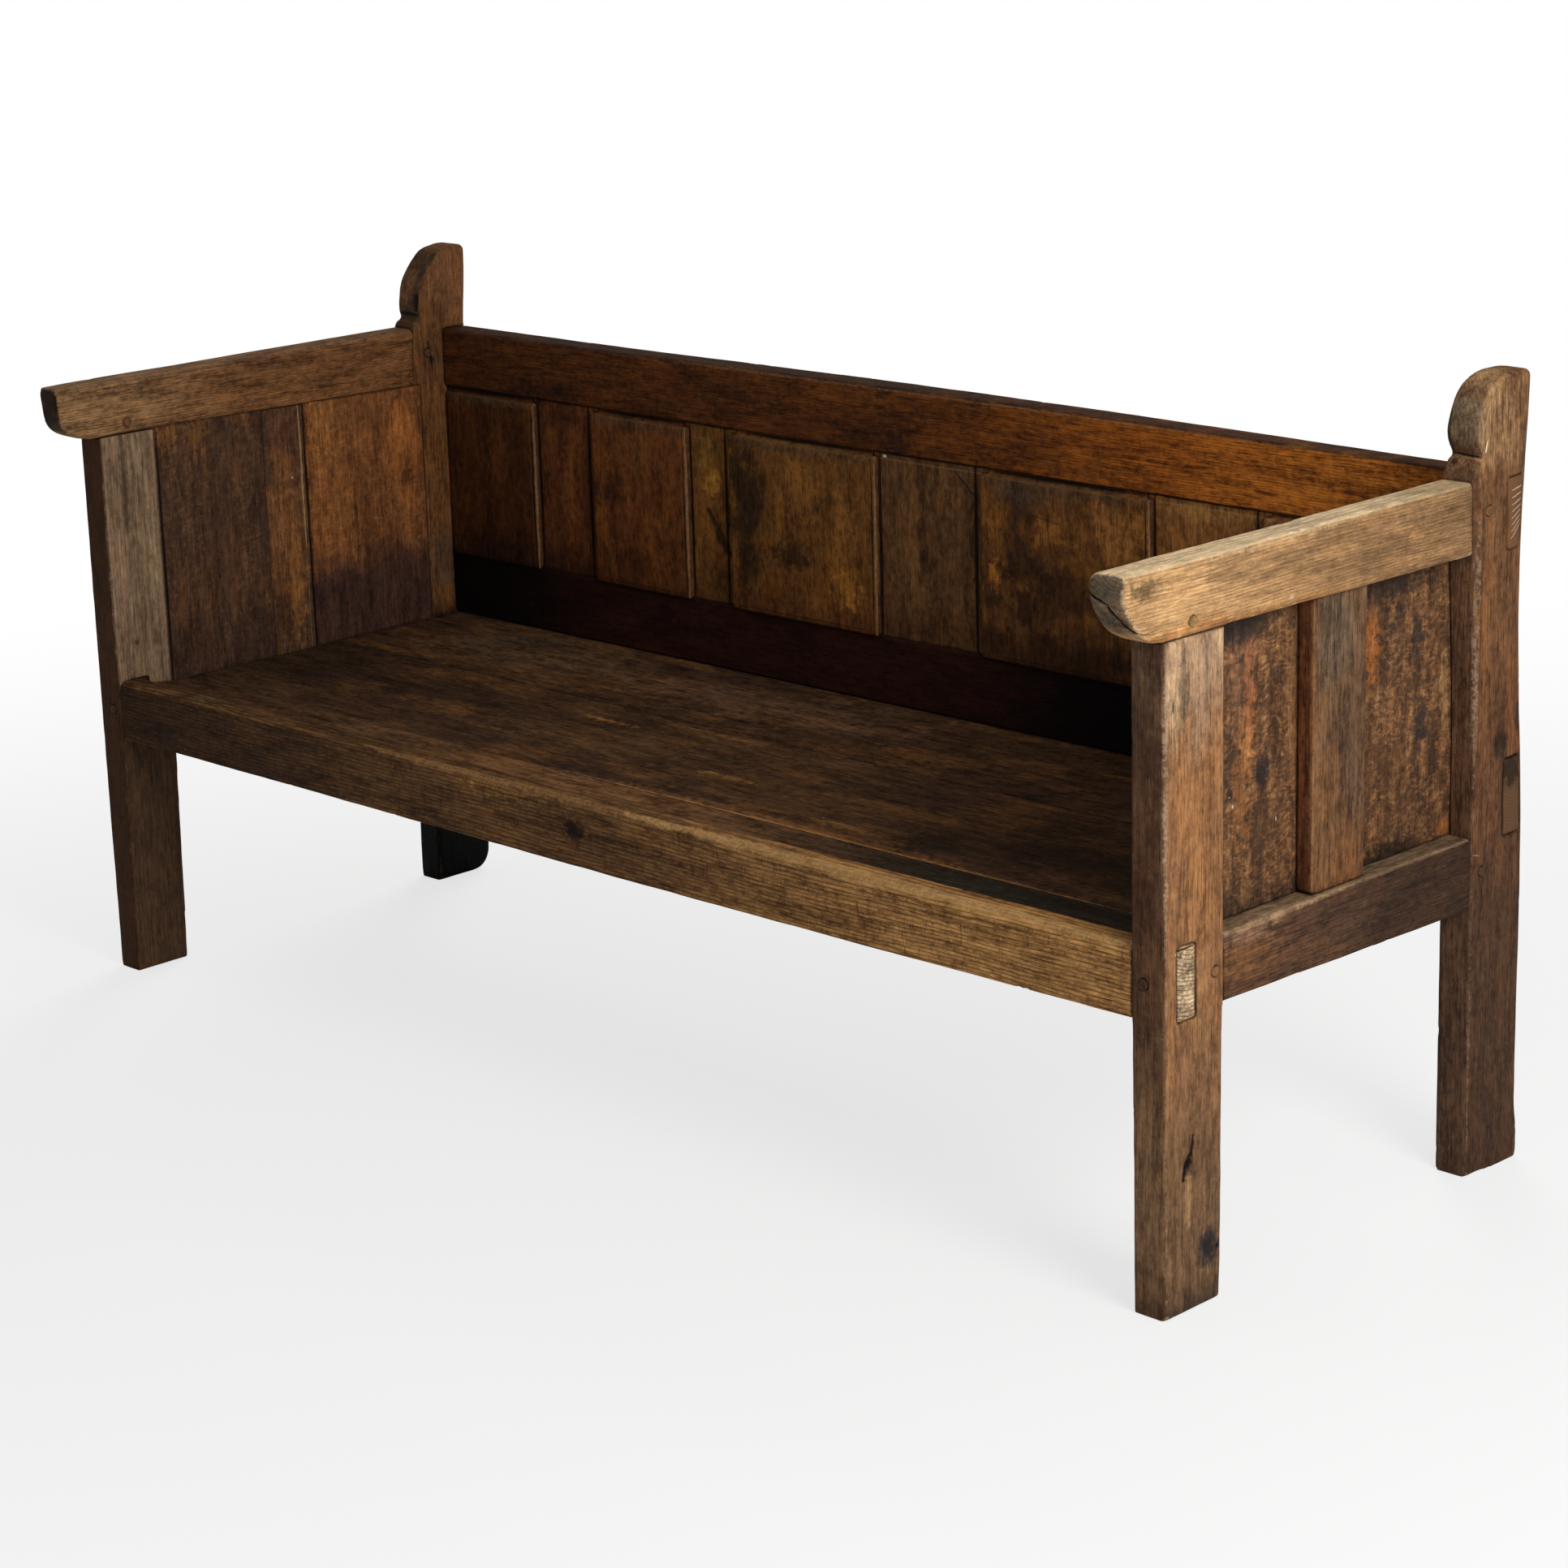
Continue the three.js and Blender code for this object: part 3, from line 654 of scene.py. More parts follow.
class OakShader:
    """Builds the oak of one timber from its finish and its marks.

    The layers of noise are named for what they make. Steps are the values of a noise between which its mark
    comes on, reliefs are in millimetres, and the rest are shares.
    """

    wide = Layer(45, 1.0, 5.0, 0.62)
    fine = Layer(11, 1.0, 5.0, 0.68)
    chip = Layer(4.2, 1.0, 3.0, 0.6)
    wander = Layer(1000 / 38, 1.0, 4.0, 0.65)
    sway = Layer(160, 4.0, 3.0, 0.55)
    line = Layer(1.4, 22.0, 4.0, 0.65)
    streak = Layer(5, 11.0, 5.0, 0.68)
    band = Layer(21, 4.5, 5.0, 0.66)
    mottle = Layer(8.5, 1.5, 7.0, 0.78)
    pores = Layer(1.1, 14.0, 1.0, 0.5)
    checks = Layer(16, 0.2, 3.0, 0.6, (0.4, 0.8, 2.7))
    scuffs = Layer(3, 4.0, 6.0, 0.72, (0.9, 2.1, 4.2))
    wobble = Layer(40, 8.0, 3.0, 0.5)

    per_cloud_warm = Layer(1.0, 2.4, 6.0, 0.64)
    per_cloud_smoke = Layer(1.3, 1.8, 6.0, 0.66, (3.3, 5.1, 0.7))
    per_fleck_push = Layer(6.0, 1.0, 2.0, 0.5)
    per_fleck_wave = Layer(2.1, 0.4, 4.0, 0.66)
    per_fleck_band = Layer(5.0, 3.0, 4.0, 0.66, (1.3, 4.7, 0.9))

    stride = (0.37, 0.61, 1.93)
    sway_reach = (0.015, 0.015, 0.0)
    fleck_reach = 5.0

    warm_step = (0.48, 0.62)
    smoke_step = (0.52, 0.66)
    tone_step = (0.4, 0.6)
    ring_step = (0.4, 0.58)
    pore_step = (0.58, 0.66)
    check_step = (0.57, 0.68)
    checked_step = (0.42, 0.56)
    scuff_step = (0.56, 0.72)
    scuffed_step = (0.4, 0.58)
    fleck_step = (0.43, 0.59)
    crest_step = (0.55, 0.65)
    year_start = (0.0, 0.14)
    year_end = (0.5, 0.18)
    rub_step = (0.0, 0.35)
    rub_fine = 1.3
    rub_wide = 1.2
    rub_less = 1.75
    arris_step = (0.1, 0.5)
    soiling_and_shade_step = (0.1, 0.75)
    soiling_and_shade_fine = 0.6

    dark_grain = (0.6, 0.65, 0.68)
    light_grain = (0.64, 0.58, 0.48)
    line_share = 0.22
    band_share = 0.22
    faintest_ring = 0.3
    pore_in_late_wood = 0.4
    ripple_in_fleck = 0.55
    ripple_in_crest = 0.62
    crest_share = 0.7
    ring_wobble = 2.6
    knot_rings = 4.0

    tone_relief = 0.3
    ring_relief = 0.2
    pore_relief = 0.3
    mottle_relief = 1.0
    ripple_relief = 2.2
    cut_relief = 1.2

    rougher_by_tone = 0.1
    rougher_by_rub = 0.1
    rougher_by_pore = 0.12
    rougher_by_dirt = 0.1

    def __init__(self, timber: Timber) -> None:
        """Takes the timber to dress.

        Args:
            timber: the timber, whose box places the marks.
        """
        self.timber = timber
        self.finish = timber.finish
        self.shader = Shader(bpy.data.materials.new(f"oak_{timber.name}"))
        self.place = self.shader.node("ShaderNodeTexCoord", output="Object")
        self.fine_cloud = self.shader.noise(self.place, self.fine)
        self.chip_cloud = self.shader.noise(self.place, self.chip)
        self.wide_cloud = self.shader.noise(self.place, self.wide)

    def along_grain(self) -> Wire:
        """The place on the timber with the grain along the third axis.

        Returns:
            The place, moved to a stretch of wood of the timber's own.
        """
        shader = self.shader
        parts = shader.node("ShaderNodeSeparateXYZ", {}, {0: self.place}).socket.node.outputs
        axes = [Wire(shader, parts[axis]) for axis in self.timber.grain.order]
        turned = shader.node("ShaderNodeCombineXYZ", {}, dict(enumerate(axes)))
        return turned + self.timber.stretch(self.stride)

    def build(self) -> bpy.types.Material:
        """Makes the material.

        Returns:
            The oak of this timber.
        """
        shader, finish = self.shader, self.finish
        still = self.along_grain()
        wood = still + (shader.noise(still, self.sway, "Color") - (0.5, 0.5, 0.5)) * self.sway_reach
        warm_cloud = shader.noise(still, self.per_cloud_warm.scaled(finish.cloud_size))
        smoke_cloud = shader.noise(still, self.per_cloud_smoke.scaled(finish.cloud_size))
        ripple = self.ripple(still) if finish.fleck else None
        base = shader.mix(finish.body, finish.warm, warm_cloud.rise(*self.warm_step) * finish.warm_share)
        base = shader.mix(base, finish.smoke, smoke_cloud.rise(*self.smoke_step) * finish.smoke_share)
        if ripple:
            base = self.flecked(base, still, ripple)
        base = self.marked(base, self.marks_of(Fade, Tint, Stain, covers=False))

        mottle = shader.noise(still, self.mottle)
        tone = self.tone(still, wood, mottle)
        dark = tuple(1 - finish.contrast * part for part in self.dark_grain)
        light = tuple(1 + finish.contrast * part for part in self.light_grain)
        colour = base * shader.mix((*dark, 1.0), (*light, 1.0), tone)

        ring = self.rings(wood)
        faint = mottle.rise(*self.ring_step) * (1 - self.faintest_ring) + self.faintest_ring
        pore = shader.noise(wood, self.pores).rise(*self.pore_step)
        pore = pore * (ring * (1 - self.pore_in_late_wood) + self.pore_in_late_wood)
        colour = shader.mix(colour, finish.grime_and_shade, ring * finish.ring * faint)
        colour = shader.mix(colour, finish.grime_and_shade, pore * finish.pore)
        if finish.check:
            check = shader.noise(still, self.checks).rise(*self.check_step)
            check = check * smoke_cloud.rise(*self.checked_step) * finish.check
            colour = shader.mix(colour, finish.grime_and_shade, check)
        scuff = shader.noise(still, self.scuffs).rise(*self.scuff_step) * warm_cloud.rise(*self.scuffed_step)
        colour = shader.mix(colour, finish.worn, scuff * finish.scuff)
        colour = self.marked(colour, self.marks_of(Tint, Stain, covers=True) + self.marks_of(Knot, Line))

        rubbed, soiled_and_shaded = self.rubbed(), self.soiled_and_shaded()
        colour = shader.mix(colour, finish.worn, rubbed * finish.rub)
        # soiling and painted shade in the corners and along the joints
        colour = shader.mix(colour, finish.grime_and_shade, soiled_and_shaded * finish.soiling_and_shade)
        rough = (finish.roughness + (tone - 0.5) * self.rougher_by_tone + rubbed * self.rougher_by_rub
                 + pore * self.rougher_by_pore + soiled_and_shaded * self.rougher_by_dirt)
        return shader.finish(colour, rough, self.height(tone, ring, pore, mottle, ripple), finish.sheen)

    def tone(self, still: Wire, wood: Wire, mottle: Wire) -> Wire:
        """How light the wood is at a place, by its lines, streaks, bands and mottles.

        Args:
            still: the place along the grain.
            wood: the same place, swaying as the grain does.
            mottle: the noise of its mottles.

        Returns:
            The tone, from 0 to 1.
        """
        shader, streaks = self.shader, self.finish.streak
        rest = 1 - self.line_share - self.band_share - streaks
        blend = (shader.noise(wood, self.line) * self.line_share + shader.noise(wood, self.streak) * streaks
                 + shader.noise(still, self.band) * self.band_share + mottle * rest)
        return blend.rise(*self.tone_step)

    def rubbed(self) -> Wire:
        """Where the arrises are rubbed pale, broken up by noise.

        Returns:
            The mask, from 0 to 1.
        """
        arris = self.shader.node("ShaderNodeAttribute", {"attribute_name": "arris"}, output="Fac")
        clouds = self.fine_cloud * self.rub_fine + self.wide_cloud * self.rub_wide
        return (arris + clouds - self.rub_less).rise(*self.rub_step) * arris.rise(*self.arris_step)

    def soiled_and_shaded(self) -> Wire:
        """Where soiling and painted shade lie in the corners and along the joints, broken up by noise.

        Returns:
            The mask, from 0 to 1.
        """
        crevice = self.shader.node("ShaderNodeAttribute", {"attribute_name": "crevice"}, output="Fac")
        return (crevice + (self.fine_cloud - 0.5) * self.soiling_and_shade_fine).rise(*self.soiling_and_shade_step)

    def height(self, tone: Wire, ring: Wire, pore: Wire, mottle: Wire, ripple: Wire | None) -> Wire:
        """The relief of the surface.

        Args:
            tone: how light the wood is.
            ring: where early wood lies.
            pore: where pores are open.
            mottle: the noise of its mottles.
            ripple: the waves of a rippled board, or none.

        Returns:
            The height, in metres.
        """
        grain = tone * (self.tone_relief * MM) - ring * (self.ring_relief * MM)
        height = grain - pore * (self.pore_relief * MM) + mottle * (self.mottle_relief * MM)
        height = height * self.finish.relief
        if ripple:
            height = height + ripple * (self.ripple_relief * MM)
        for cut in self.marks_of(Line):
            if cut.depth:
                height = height - cut.mask(self) * (self.cut_relief * MM)
        return height

    def rings(self, wood: Wire) -> Wire:
        """The dark early wood of each year, round a pith beside or inside the timber and round its knots.

        Args:
            wood: the place along the grain.

        Returns:
            1 in early wood and 0 in late wood.
        """
        timber = self.timber
        stretch = timber.stretch(self.stride)
        across = enumerate(timber.grain.order[:2])
        pith = [timber.middle[axis] + timber.pith[i] * MM + stretch[i] for i, axis in across]
        radius = ((wood - (*pith, 0.0)) * (1.0, 1.0, 0.0)).length()
        wobble = self.shader.noise(wood, self.wobble)
        years = radius / (self.finish.ring_gap * MM) + wobble * self.ring_wobble
        for knot in self.marks_of(Knot):
            years = years + knot.mask(self) * self.knot_rings
        year = years.fraction()
        return year.rise(*self.year_start) * year.rise(*self.year_end)

    def ripple(self, still: Wire) -> Wire:
        """The short waves across the grain of a rippled board.

        Args:
            still: the place along the grain.

        Returns:
            The waves, from 0 to 1.
        """
        size = self.finish.fleck_size
        push = self.shader.noise(still, self.per_fleck_push.scaled(size), "Color") - (0.5, 0.5, 0.5)
        pushed = still + push * (0.0, 0.0, self.fleck_reach * size * MM)
        return self.shader.noise(pushed, self.per_fleck_wave.scaled(size))

    def flecked(self, colour: Wire, still: Wire, ripple: Wire) -> Wire:
        """Lays the pale crests of a rippled board on a colour, gathered in bands.

        Args:
            colour: what is under them.
            still: the place along the grain.
            ripple: the waves across the grain.

        Returns:
            The colour with its flecks.
        """
        finish, shader = self.finish, self.shader
        band = shader.noise(still, self.per_fleck_band.scaled(finish.fleck_size))
        fleck, crest = ((ripple * share + band * (1 - share)).rise(*step)
                        for share, step in ((self.ripple_in_fleck, self.fleck_step),
                                            (self.ripple_in_crest, self.crest_step)))
        colour = shader.mix(colour, finish.fleck, fleck * finish.fleck_share)
        return shader.mix(colour, finish.worn, crest * (self.crest_share * finish.fleck_share))

    def rough_place(self, wander: float) -> Wire:
        """The place on the timber, pushed about by fine noise.

        Args:
            wander: how far it is pushed, in millimetres.

        Returns:
            The pushed place.
        """
        push = self.shader.noise(self.place, self.wander, "Color")
        return self.place + (push - (0.5, 0.5, 0.5)) * (2 * wander * MM)

    def marks_of(self, *kinds: type, covers: bool | None = None) -> list[Mark]:
        """The timber's marks of some kinds.

        Args:
            kinds: the kinds.
            covers: whether only marks that cover the grain are wanted, or only those that don't, or all.

        Returns:
            The marks, in the timber's order.
        """
        marks = [mark for mark in self.timber.marks if isinstance(mark, kinds)]
        if covers is None:
            return marks
        return [mark for mark in marks if getattr(mark, "covers", False) == covers]

    def marked(self, colour: Wire, marks: list[Mark]) -> Wire:
        """Lays marks on a colour, one over another.

        Args:
            colour: what is under them.
            marks: the marks.

        Returns:
            The colour with its marks.
        """
        for mark in marks:
            mask = mark.mask(self)
            if isinstance(mark, Knot):
                mask = mask.rise(*mark.heart)
            colour = self.shader.mix(colour, mark.colour, mask * mark.strength)
        return colour


class Surroundings:
    """Where the solids of the other pieces lie, so that wear keeps off the joints and soiling and painted
    shade gather along them.
    """

    near = 12 * MM

    def __init__(self) -> None:
        """Reads every solid of the frame."""
        self.points: dict[str, np.ndarray] = {}
        self.faces: dict[str, np.ndarray] = {}
        for name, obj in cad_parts.items():
            obj.data.calc_loop_triangles()
            self.points[name] = read(obj.data.vertices, "co", 3)
            self.faces[name] = read(obj.data.loop_triangles, "vertices", 3, np.int32)

    def beside(self, name: str, points: np.ndarray, pegs: bool) -> list[str]:
        """The other pieces whose boxes come near some points of a piece.

        Args:
            name: the piece's node.
            points: its points.
            pegs: whether only pegs count, or only the other pieces.

        Returns:
            The nodes of the pieces that lie near.
        """
        low, high = points.min(0) - self.near, points.max(0) + self.near
        others = [node for node in self.points if node != name and node.startswith("peg") == pegs]
        return [node for node in others
                if np.all(self.points[node].max(0) > low) and np.all(self.points[node].min(0) < high)]

    def distance(self, name: str, points: np.ndarray, pegs: bool) -> np.ndarray:
        """How far points of one piece lie from the nearest other piece.

        Args:
            name: the piece's node.
            points: the places to measure from.
            pegs: whether only pegs count, or only the other pieces.

        Returns:
            The distances in metres, none above the nearness that matters.
        """
        far = np.full(len(points), self.near)
        beside = self.beside(name, points, pegs)
        if not beside:
            return far
        starts = np.cumsum([0] + [len(self.points[node]) for node in beside])
        corners = np.concatenate([self.points[node] for node in beside])
        faces = np.concatenate([self.faces[node] + start for node, start in zip(beside, starts)])
        tree = BVHTree.FromPolygons(corners.tolist(), faces.tolist())
        wanted = np.zeros(len(points), dtype=bool)
        for node in beside:
            low, high = self.points[node].min(0) - self.near, self.points[node].max(0) + self.near
            wanted |= np.all((points > low) & (points < high), axis=1)
        for i in np.flatnonzero(wanted):
            found = tree.find_nearest(points[i], self.near)[3]
            if found is not None:
                far[i] = found
        return far


class Piece:
    """A piece of the bench, made around a node of the frame."""

    node: str
    slot: str

    def set_in_frame(self, piece: bpy.types.Object, oak: bpy.types.Material) -> bpy.types.Object:
        """Dresses the piece and puts it in its node's place.

        Args:
            piece: the shaped piece.
            oak: its material.

        Returns:
            The finished piece.
        """
        mesh = piece.data
        mesh.polygons.foreach_set("use_smooth", np.ones(len(mesh.polygons), dtype=bool))
        mesh.update()
        mesh.materials.clear()
        mesh.materials.append(oak)
        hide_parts(self.node)
        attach(piece, BODY)
        log.info("%s: %d faces", piece.name, len(mesh.polygons))
        return piece


@dataclass
class Timber(Piece):
    """One piece of oak: a worn copy of a node's solid.

    Pith is how far the heart of the tree lies from the timber's middle, voxel how fine its mesh is, and wave
    how far its planed faces wander, all in millimetres. So are the steps and the shortest and longest waves
    below; a step of wear, and one of soiling and painted shade, is measured from the nearest other piece.
    """

    node: str
    slot: str
    finish: OakFinish
    grain: Grain
    seed: int
    pith: tuple[float, float] = (60.0, 40.0)
    voxel: float = 3.0
    wear: float = 1.0
    wave: float = 0.45
    wear_steps: int = 5
    marks: tuple[Mark, ...] = ()
    box: tuple[Vector, Vector] = field(init=False)

    merge_gap = 0.01
    soft_steps = 3
    deep_share = 0.6
    fine_wave = 0.1
    sharp_bend = 0.3
    groove_edges = (0.4, 1.3)
    wave_count = 7

    uneven_waves = (60, 260)
    uneven_step = (-0.9, 0.9)
    chip_waves = (12, 45)
    chip_step = (0.9, 1.6)
    chipped_waves = (60, 200)
    chipped_step = (0, 1)
    plane_waves = (90, 420)
    chatter_waves = (30, 80)
    soiling_and_shade_waves = (20, 60)

    free_step = (1.2, 5.5)
    arris_step = (2, 9)
    crevice_step = (2, 5)
    # how far soiling and painted shade reach from the joints and the pegs
    soiling_and_shade_reach = 2.9
    soiling_and_shade_spread = 1.9
    peg_soiling_and_shade_reach = 1.8
    joint_soiling_and_shade = 0.8
    peg_soiling_and_shade = 0.45

    def __post_init__(self) -> None:
        """Reads the box of the node."""
        self.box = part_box(self.node)

    @property
    def name(self) -> str:
        """The piece's name."""
        return f"worn_{self.node}"

    @property
    def middle(self) -> Vector:
        """The middle of the piece's box."""
        return (self.box[0] + self.box[1]) / 2

    def spot(self, at: Triple) -> Triple:
        """A place given in shares of the box, in metres."""
        low, high = self.box
        return tuple(low[i] + at[i] * (high[i] - low[i]) for i in range(3))

    def stretch(self, stride: Triple) -> Triple:
        """Where the timber's own wood lies, a stride in metres from that of the timber before it."""
        return tuple(self.seed * part for part in stride)

    def fine_copy(self) -> bpy.types.Object:
        """A copy of the solid, merged and remeshed evenly.

        Returns:
            The new object, with its mesh in place.
        """
        edit = bmesh.new()
        edit.from_mesh(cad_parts[self.node].data)
        bmesh.ops.remove_doubles(edit, verts=edit.verts, dist=self.merge_gap * MM)
        rough = meshed(self.name, edit)
        piece = linked(self.name, rough)
        remesh = piece.modifiers.new("even", "REMESH")
        remesh.mode = "VOXEL"
        remesh.voxel_size = self.voxel * MM
        shaped = bpy.data.meshes.new_from_object(piece.evaluated_get(bpy.context.evaluated_depsgraph_get()))
        piece.modifiers.clear()
        piece.data = shaped
        shaped.name = self.name
        bpy.data.meshes.remove(rough)
        return piece

    def weather(self, mesh: bpy.types.Mesh, around: Surroundings) -> None:
        """Wears the arrises round, waves the surface, presses the dents in and notes where wear, soiling and
        painted shade lie.

        Args:
            mesh: the fine mesh, changed in place.
            around: where the other pieces lie.
        """
        points = read(mesh.vertices, "co", 3)
        normals = read(mesh.vertices, "normal", 3)
        edges = read(mesh.edges, "vertices", 2, np.int32)
        random = np.random.default_rng(self.seed)
        gap = around.distance(self.node, points, pegs=False)
        peg_gap = around.distance(self.node, points, pegs=True)
        free = self.beyond(np.minimum(gap, peg_gap), self.free_step)
        softened = self.smoothed(points, edges, self.soft_steps)

        moved = points + self.worn_away(points, softened, edges, random) * free[:, None]
        lift = self.planed(points, random) * free - self.cut_in(points)
        moved += normals * (lift * MM)[:, None]
        low, high = (np.array(corner) for corner in self.box)
        mesh.vertices.foreach_set("co", bent(np.clip(moved, low, high)).ravel())

        turn = np.einsum("ij,ij->i", softened - points, normals) / (self.sharp_bend * self.voxel * MM)
        # crevice: soiling and painted shade in hollows, along the joints and round the pegs
        uneven = np.clip(self.waves(points, random, self.soiling_and_shade_waves), -1, 1)
        joint_reach = self.soiling_and_shade_reach + self.soiling_and_shade_spread * uneven
        notes = {
            "arris": np.clip(-turn, 0, 1) * free * self.beyond(peg_gap, self.arris_step),
            "crevice": np.clip(turn, 0, 1) * self.beyond(peg_gap, self.crevice_step)
            + self.joint_soiling_and_shade * (1 - self.beyond(gap, (0, joint_reach)))
            + self.peg_soiling_and_shade * (1 - self.beyond(peg_gap, (0, self.peg_soiling_and_shade_reach))),
        }
        for name, values in notes.items():
            attribute = mesh.attributes.new(name, "FLOAT", "POINT")
            attribute.data.foreach_set("value", np.clip(values, 0, 1).astype(np.float32))
        mesh.update()

    @staticmethod
    def beyond(gap: np.ndarray, step: tuple[float, float | np.ndarray]) -> np.ndarray:
        """How far points are past a step away from other pieces.

        Args:
            gap: the distances from the other pieces, in metres.
            step: where it begins and ends, in millimetres.

        Returns:
            0 before the step and 1 past it.
        """
        low, high = step
        return steps(gap, low * MM, high * MM)

    def worn_away(self, points: np.ndarray, softened: np.ndarray, edges: np.ndarray,
                  random: np.random.Generator) -> np.ndarray:
        """How wear moves each point: evenly round the arrises, and deeper in the places of old knocks.

        Args:
            points: the places of the vertices.
            softened: the same places after the first smoothing.
            edges: the pairs of vertices that an edge joins.
            random: the timber's own random numbers.

        Returns:
            The moves in metres.
        """
        rubbed = self.smoothed(softened, edges, self.wear_steps - self.soft_steps)
        worn = self.smoothed(rubbed, edges, 3 * self.wear_steps)
        uneven = steps(self.waves(points, random, self.uneven_waves), *self.uneven_step)
        chips = steps(self.waves(points, random, self.chip_waves), *self.chip_step)
        chipped = steps(self.waves(points, random, self.chipped_waves), *self.chipped_step)
        return self.wear * ((rubbed - points) * (0.5 + 0.5 * uneven)[:, None]
                            + (worn - rubbed) * (self.deep_share * chips * chipped)[:, None])

    def planed(self, points: np.ndarray, random: np.random.Generator) -> np.ndarray:
        """How far the planed faces wave in and out at each point.

        Args:
            points: the places of the vertices.
            random: the timber's own random numbers.

        Returns:
            The heights in millimetres.
        """
        long_waves = self.waves(points, random, self.plane_waves)
        return 0.5 * self.wave * long_waves + self.fine_wave * self.waves(points, random, self.chatter_waves)

    def cut_in(self, points: np.ndarray) -> np.ndarray:
        """How deep the dents and cracks are at each point.

        Args:
            points: the places of the vertices.

        Returns:
            The depths in millimetres.
        """
        depth = np.zeros(len(points))
        for mark in self.marks:
            if isinstance(mark, Dent):
                depth += mark.depth * hollow(points, self.spot(mark.at), np.array(mark.reach) * MM)
            if isinstance(mark, Line) and mark.depth:
                depth += mark.depth * self.groove(points, mark)
        return depth

    def groove(self, points: np.ndarray, crack: Line) -> np.ndarray:
        """How deep a crack runs at each point.

        Args:
            points: the places of the vertices.
            crack: the crack.

        Returns:
            The depth, from 0 to 1.
        """
        start, end = (np.array(self.spot(place)) for place in (crack.start, crack.end))
        run = end - start
        along = np.clip((points - start) @ run / (run @ run), 0, 1)
        away = np.linalg.norm((points - start - along[:, None] * run) * crack.weights, axis=1)
        low, high = (share * self.voxel * MM for share in self.groove_edges)
        return 1 - steps(away, low, high)

    @staticmethod
    def smoothed(points: np.ndarray, edges: np.ndarray, times: int) -> np.ndarray:
        """Moves each point halfway to the mean of its neighbours, again and again.

        Args:
            points: the places of the vertices.
            edges: the pairs of vertices that an edge joins.
            times: how often.

        Returns:
            The new places.
        """
        count = len(points)
        heads = np.concatenate([edges[:, 0], edges[:, 1]])
        tails = np.concatenate([edges[:, 1], edges[:, 0]])
        degree = np.maximum(np.bincount(heads, minlength=count), 1)
        made = points.copy()
        for _ in range(times):
            total = np.stack([np.bincount(heads, made[tails, axis], count) for axis in range(3)], axis=1)
            made += 0.5 * (total / degree[:, None] - made)
        return made

    def waves(self, points: np.ndarray, random: np.random.Generator,
              lengths: tuple[float, float]) -> np.ndarray:
        """A sum of waves in random directions.

        Args:
            points: where it is read, in metres.
            random: the timber's own random numbers.
            lengths: the shortest and the longest wave, in millimetres.

        Returns:
            A number for each point, mostly between -1.5 and 1.5.
        """
        total = np.zeros(len(points))
        for _ in range(self.wave_count):
            way = random.normal(size=3)
            way /= np.linalg.norm(way)
            length = random.uniform(*lengths) * MM
            total += np.sin(points @ way * (2 * math.pi / length) + random.uniform(0, 2 * math.pi))
        return total / math.sqrt(self.wave_count)

    def make(self, around: Surroundings) -> bpy.types.Object:
        """Builds the timber, dresses it and sets it in the frame.

        Args:
            around: where the other pieces lie.

        Returns:
            The finished piece.
        """
        piece = self.fine_copy()
        self.weather(piece.data, around)
        return self.set_in_frame(piece, OakShader(self).build())


@dataclass
class Peg(Piece):
    """A riven oak peg whose heads show on the timbers that it pins. Lengths are in millimetres."""

    node: str
    seed: int
    tone: str
    proud: float = 0.4
    sides: int = 18
    uneven: float = 0.35
    slot: str = "peg_oak"
    finish: OakFinish = OakFinish("#4a3424", warm="#5a3c24", worn="#8b6d4c", ring=0.3, ring_gap=1.3)
    pith: tuple[float, float] = (0.5, 0.8)

    taper = 0.97
    rim_round = 0.9
    rim_segments = 3
    flats = 5
    flat_depth = 0.02
    split_depth = 0.05
    level = 0.01

    @property
    def name(self) -> str:
        """The piece's name."""
        return f"riven_{self.node}"

    @property
    def grain(self) -> Grain:
        """The axis that the peg was driven along."""
        low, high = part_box(self.node)
        return Grain(max(range(3), key=lambda i: high[i] - low[i]))

    def cone(self, length: float, radius: float) -> bmesh.types.BMesh:
        """The peg upright about the origin, with rounded rims and riven sides.

        Args:
            length: its length in metres.
            radius: its radius at its thick end.

        Returns:
            The bmesh.
        """
        random = np.random.default_rng(self.seed)
        edit = bmesh.new()
        bmesh.ops.create_cone(edit, cap_ends=True, segments=self.sides, radius1=radius,
                              radius2=self.taper * radius, depth=length)
        rims = [e for e in edit.edges if abs(e.verts[0].co.z - e.verts[1].co.z) < self.level * MM]
        bmesh.ops.bevel(edit, geom=rims, offset=self.rim_round * MM, offset_type="OFFSET",
                        segments=self.rim_segments, profile=0.5, affect="EDGES", material=-1)
        for vertex in edit.verts:
            turn = math.atan2(vertex.co.y, vertex.co.x)
            push = 1 - self.flat_depth * (1 + math.sin(self.flats * turn + self.seed)) * self.uneven
            vertex.co.x *= push
            vertex.co.y *= push
            vertex.co.z += random.normal() * self.split_depth * MM
        return edit

    def make(self, around: Surroundings) -> bpy.types.Object:
        """Builds the peg, dresses it and sets it in the frame.

        Args:
            around: not needed by a peg, and taken so that every piece is made alike.

        Returns:
            The finished piece.
        """
        low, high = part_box(self.node)
        across, _, along = self.grain.order
        edit = self.cone(high[along] - low[along] + 2 * self.proud * MM, (high[across] - low[across]) / 2)
        quarter = math.pi / 2
        turns = (Matrix.Rotation(quarter, 4, "Y"), Matrix.Rotation(-quarter, 4, "X"), Matrix.Identity(4))
        place = Matrix.Translation((low + high) / 2)
        bmesh.ops.transform(edit, matrix=place @ turns[along], verts=edit.verts)
        points = np.array([tuple(vertex.co) for vertex in edit.verts])
        for vertex, moved in zip(edit.verts, bent(points)):
            vertex.co = moved
        bmesh.ops.recalc_face_normals(edit, faces=edit.faces)
        piece = linked(self.name, meshed(self.name, edit))
        finish = replace(self.finish, body=self.tone)
        oak = OakShader(Timber(self.node, self.slot, finish, self.grain, self.seed, self.pith)).build()
        return self.set_in_frame(piece, oak)


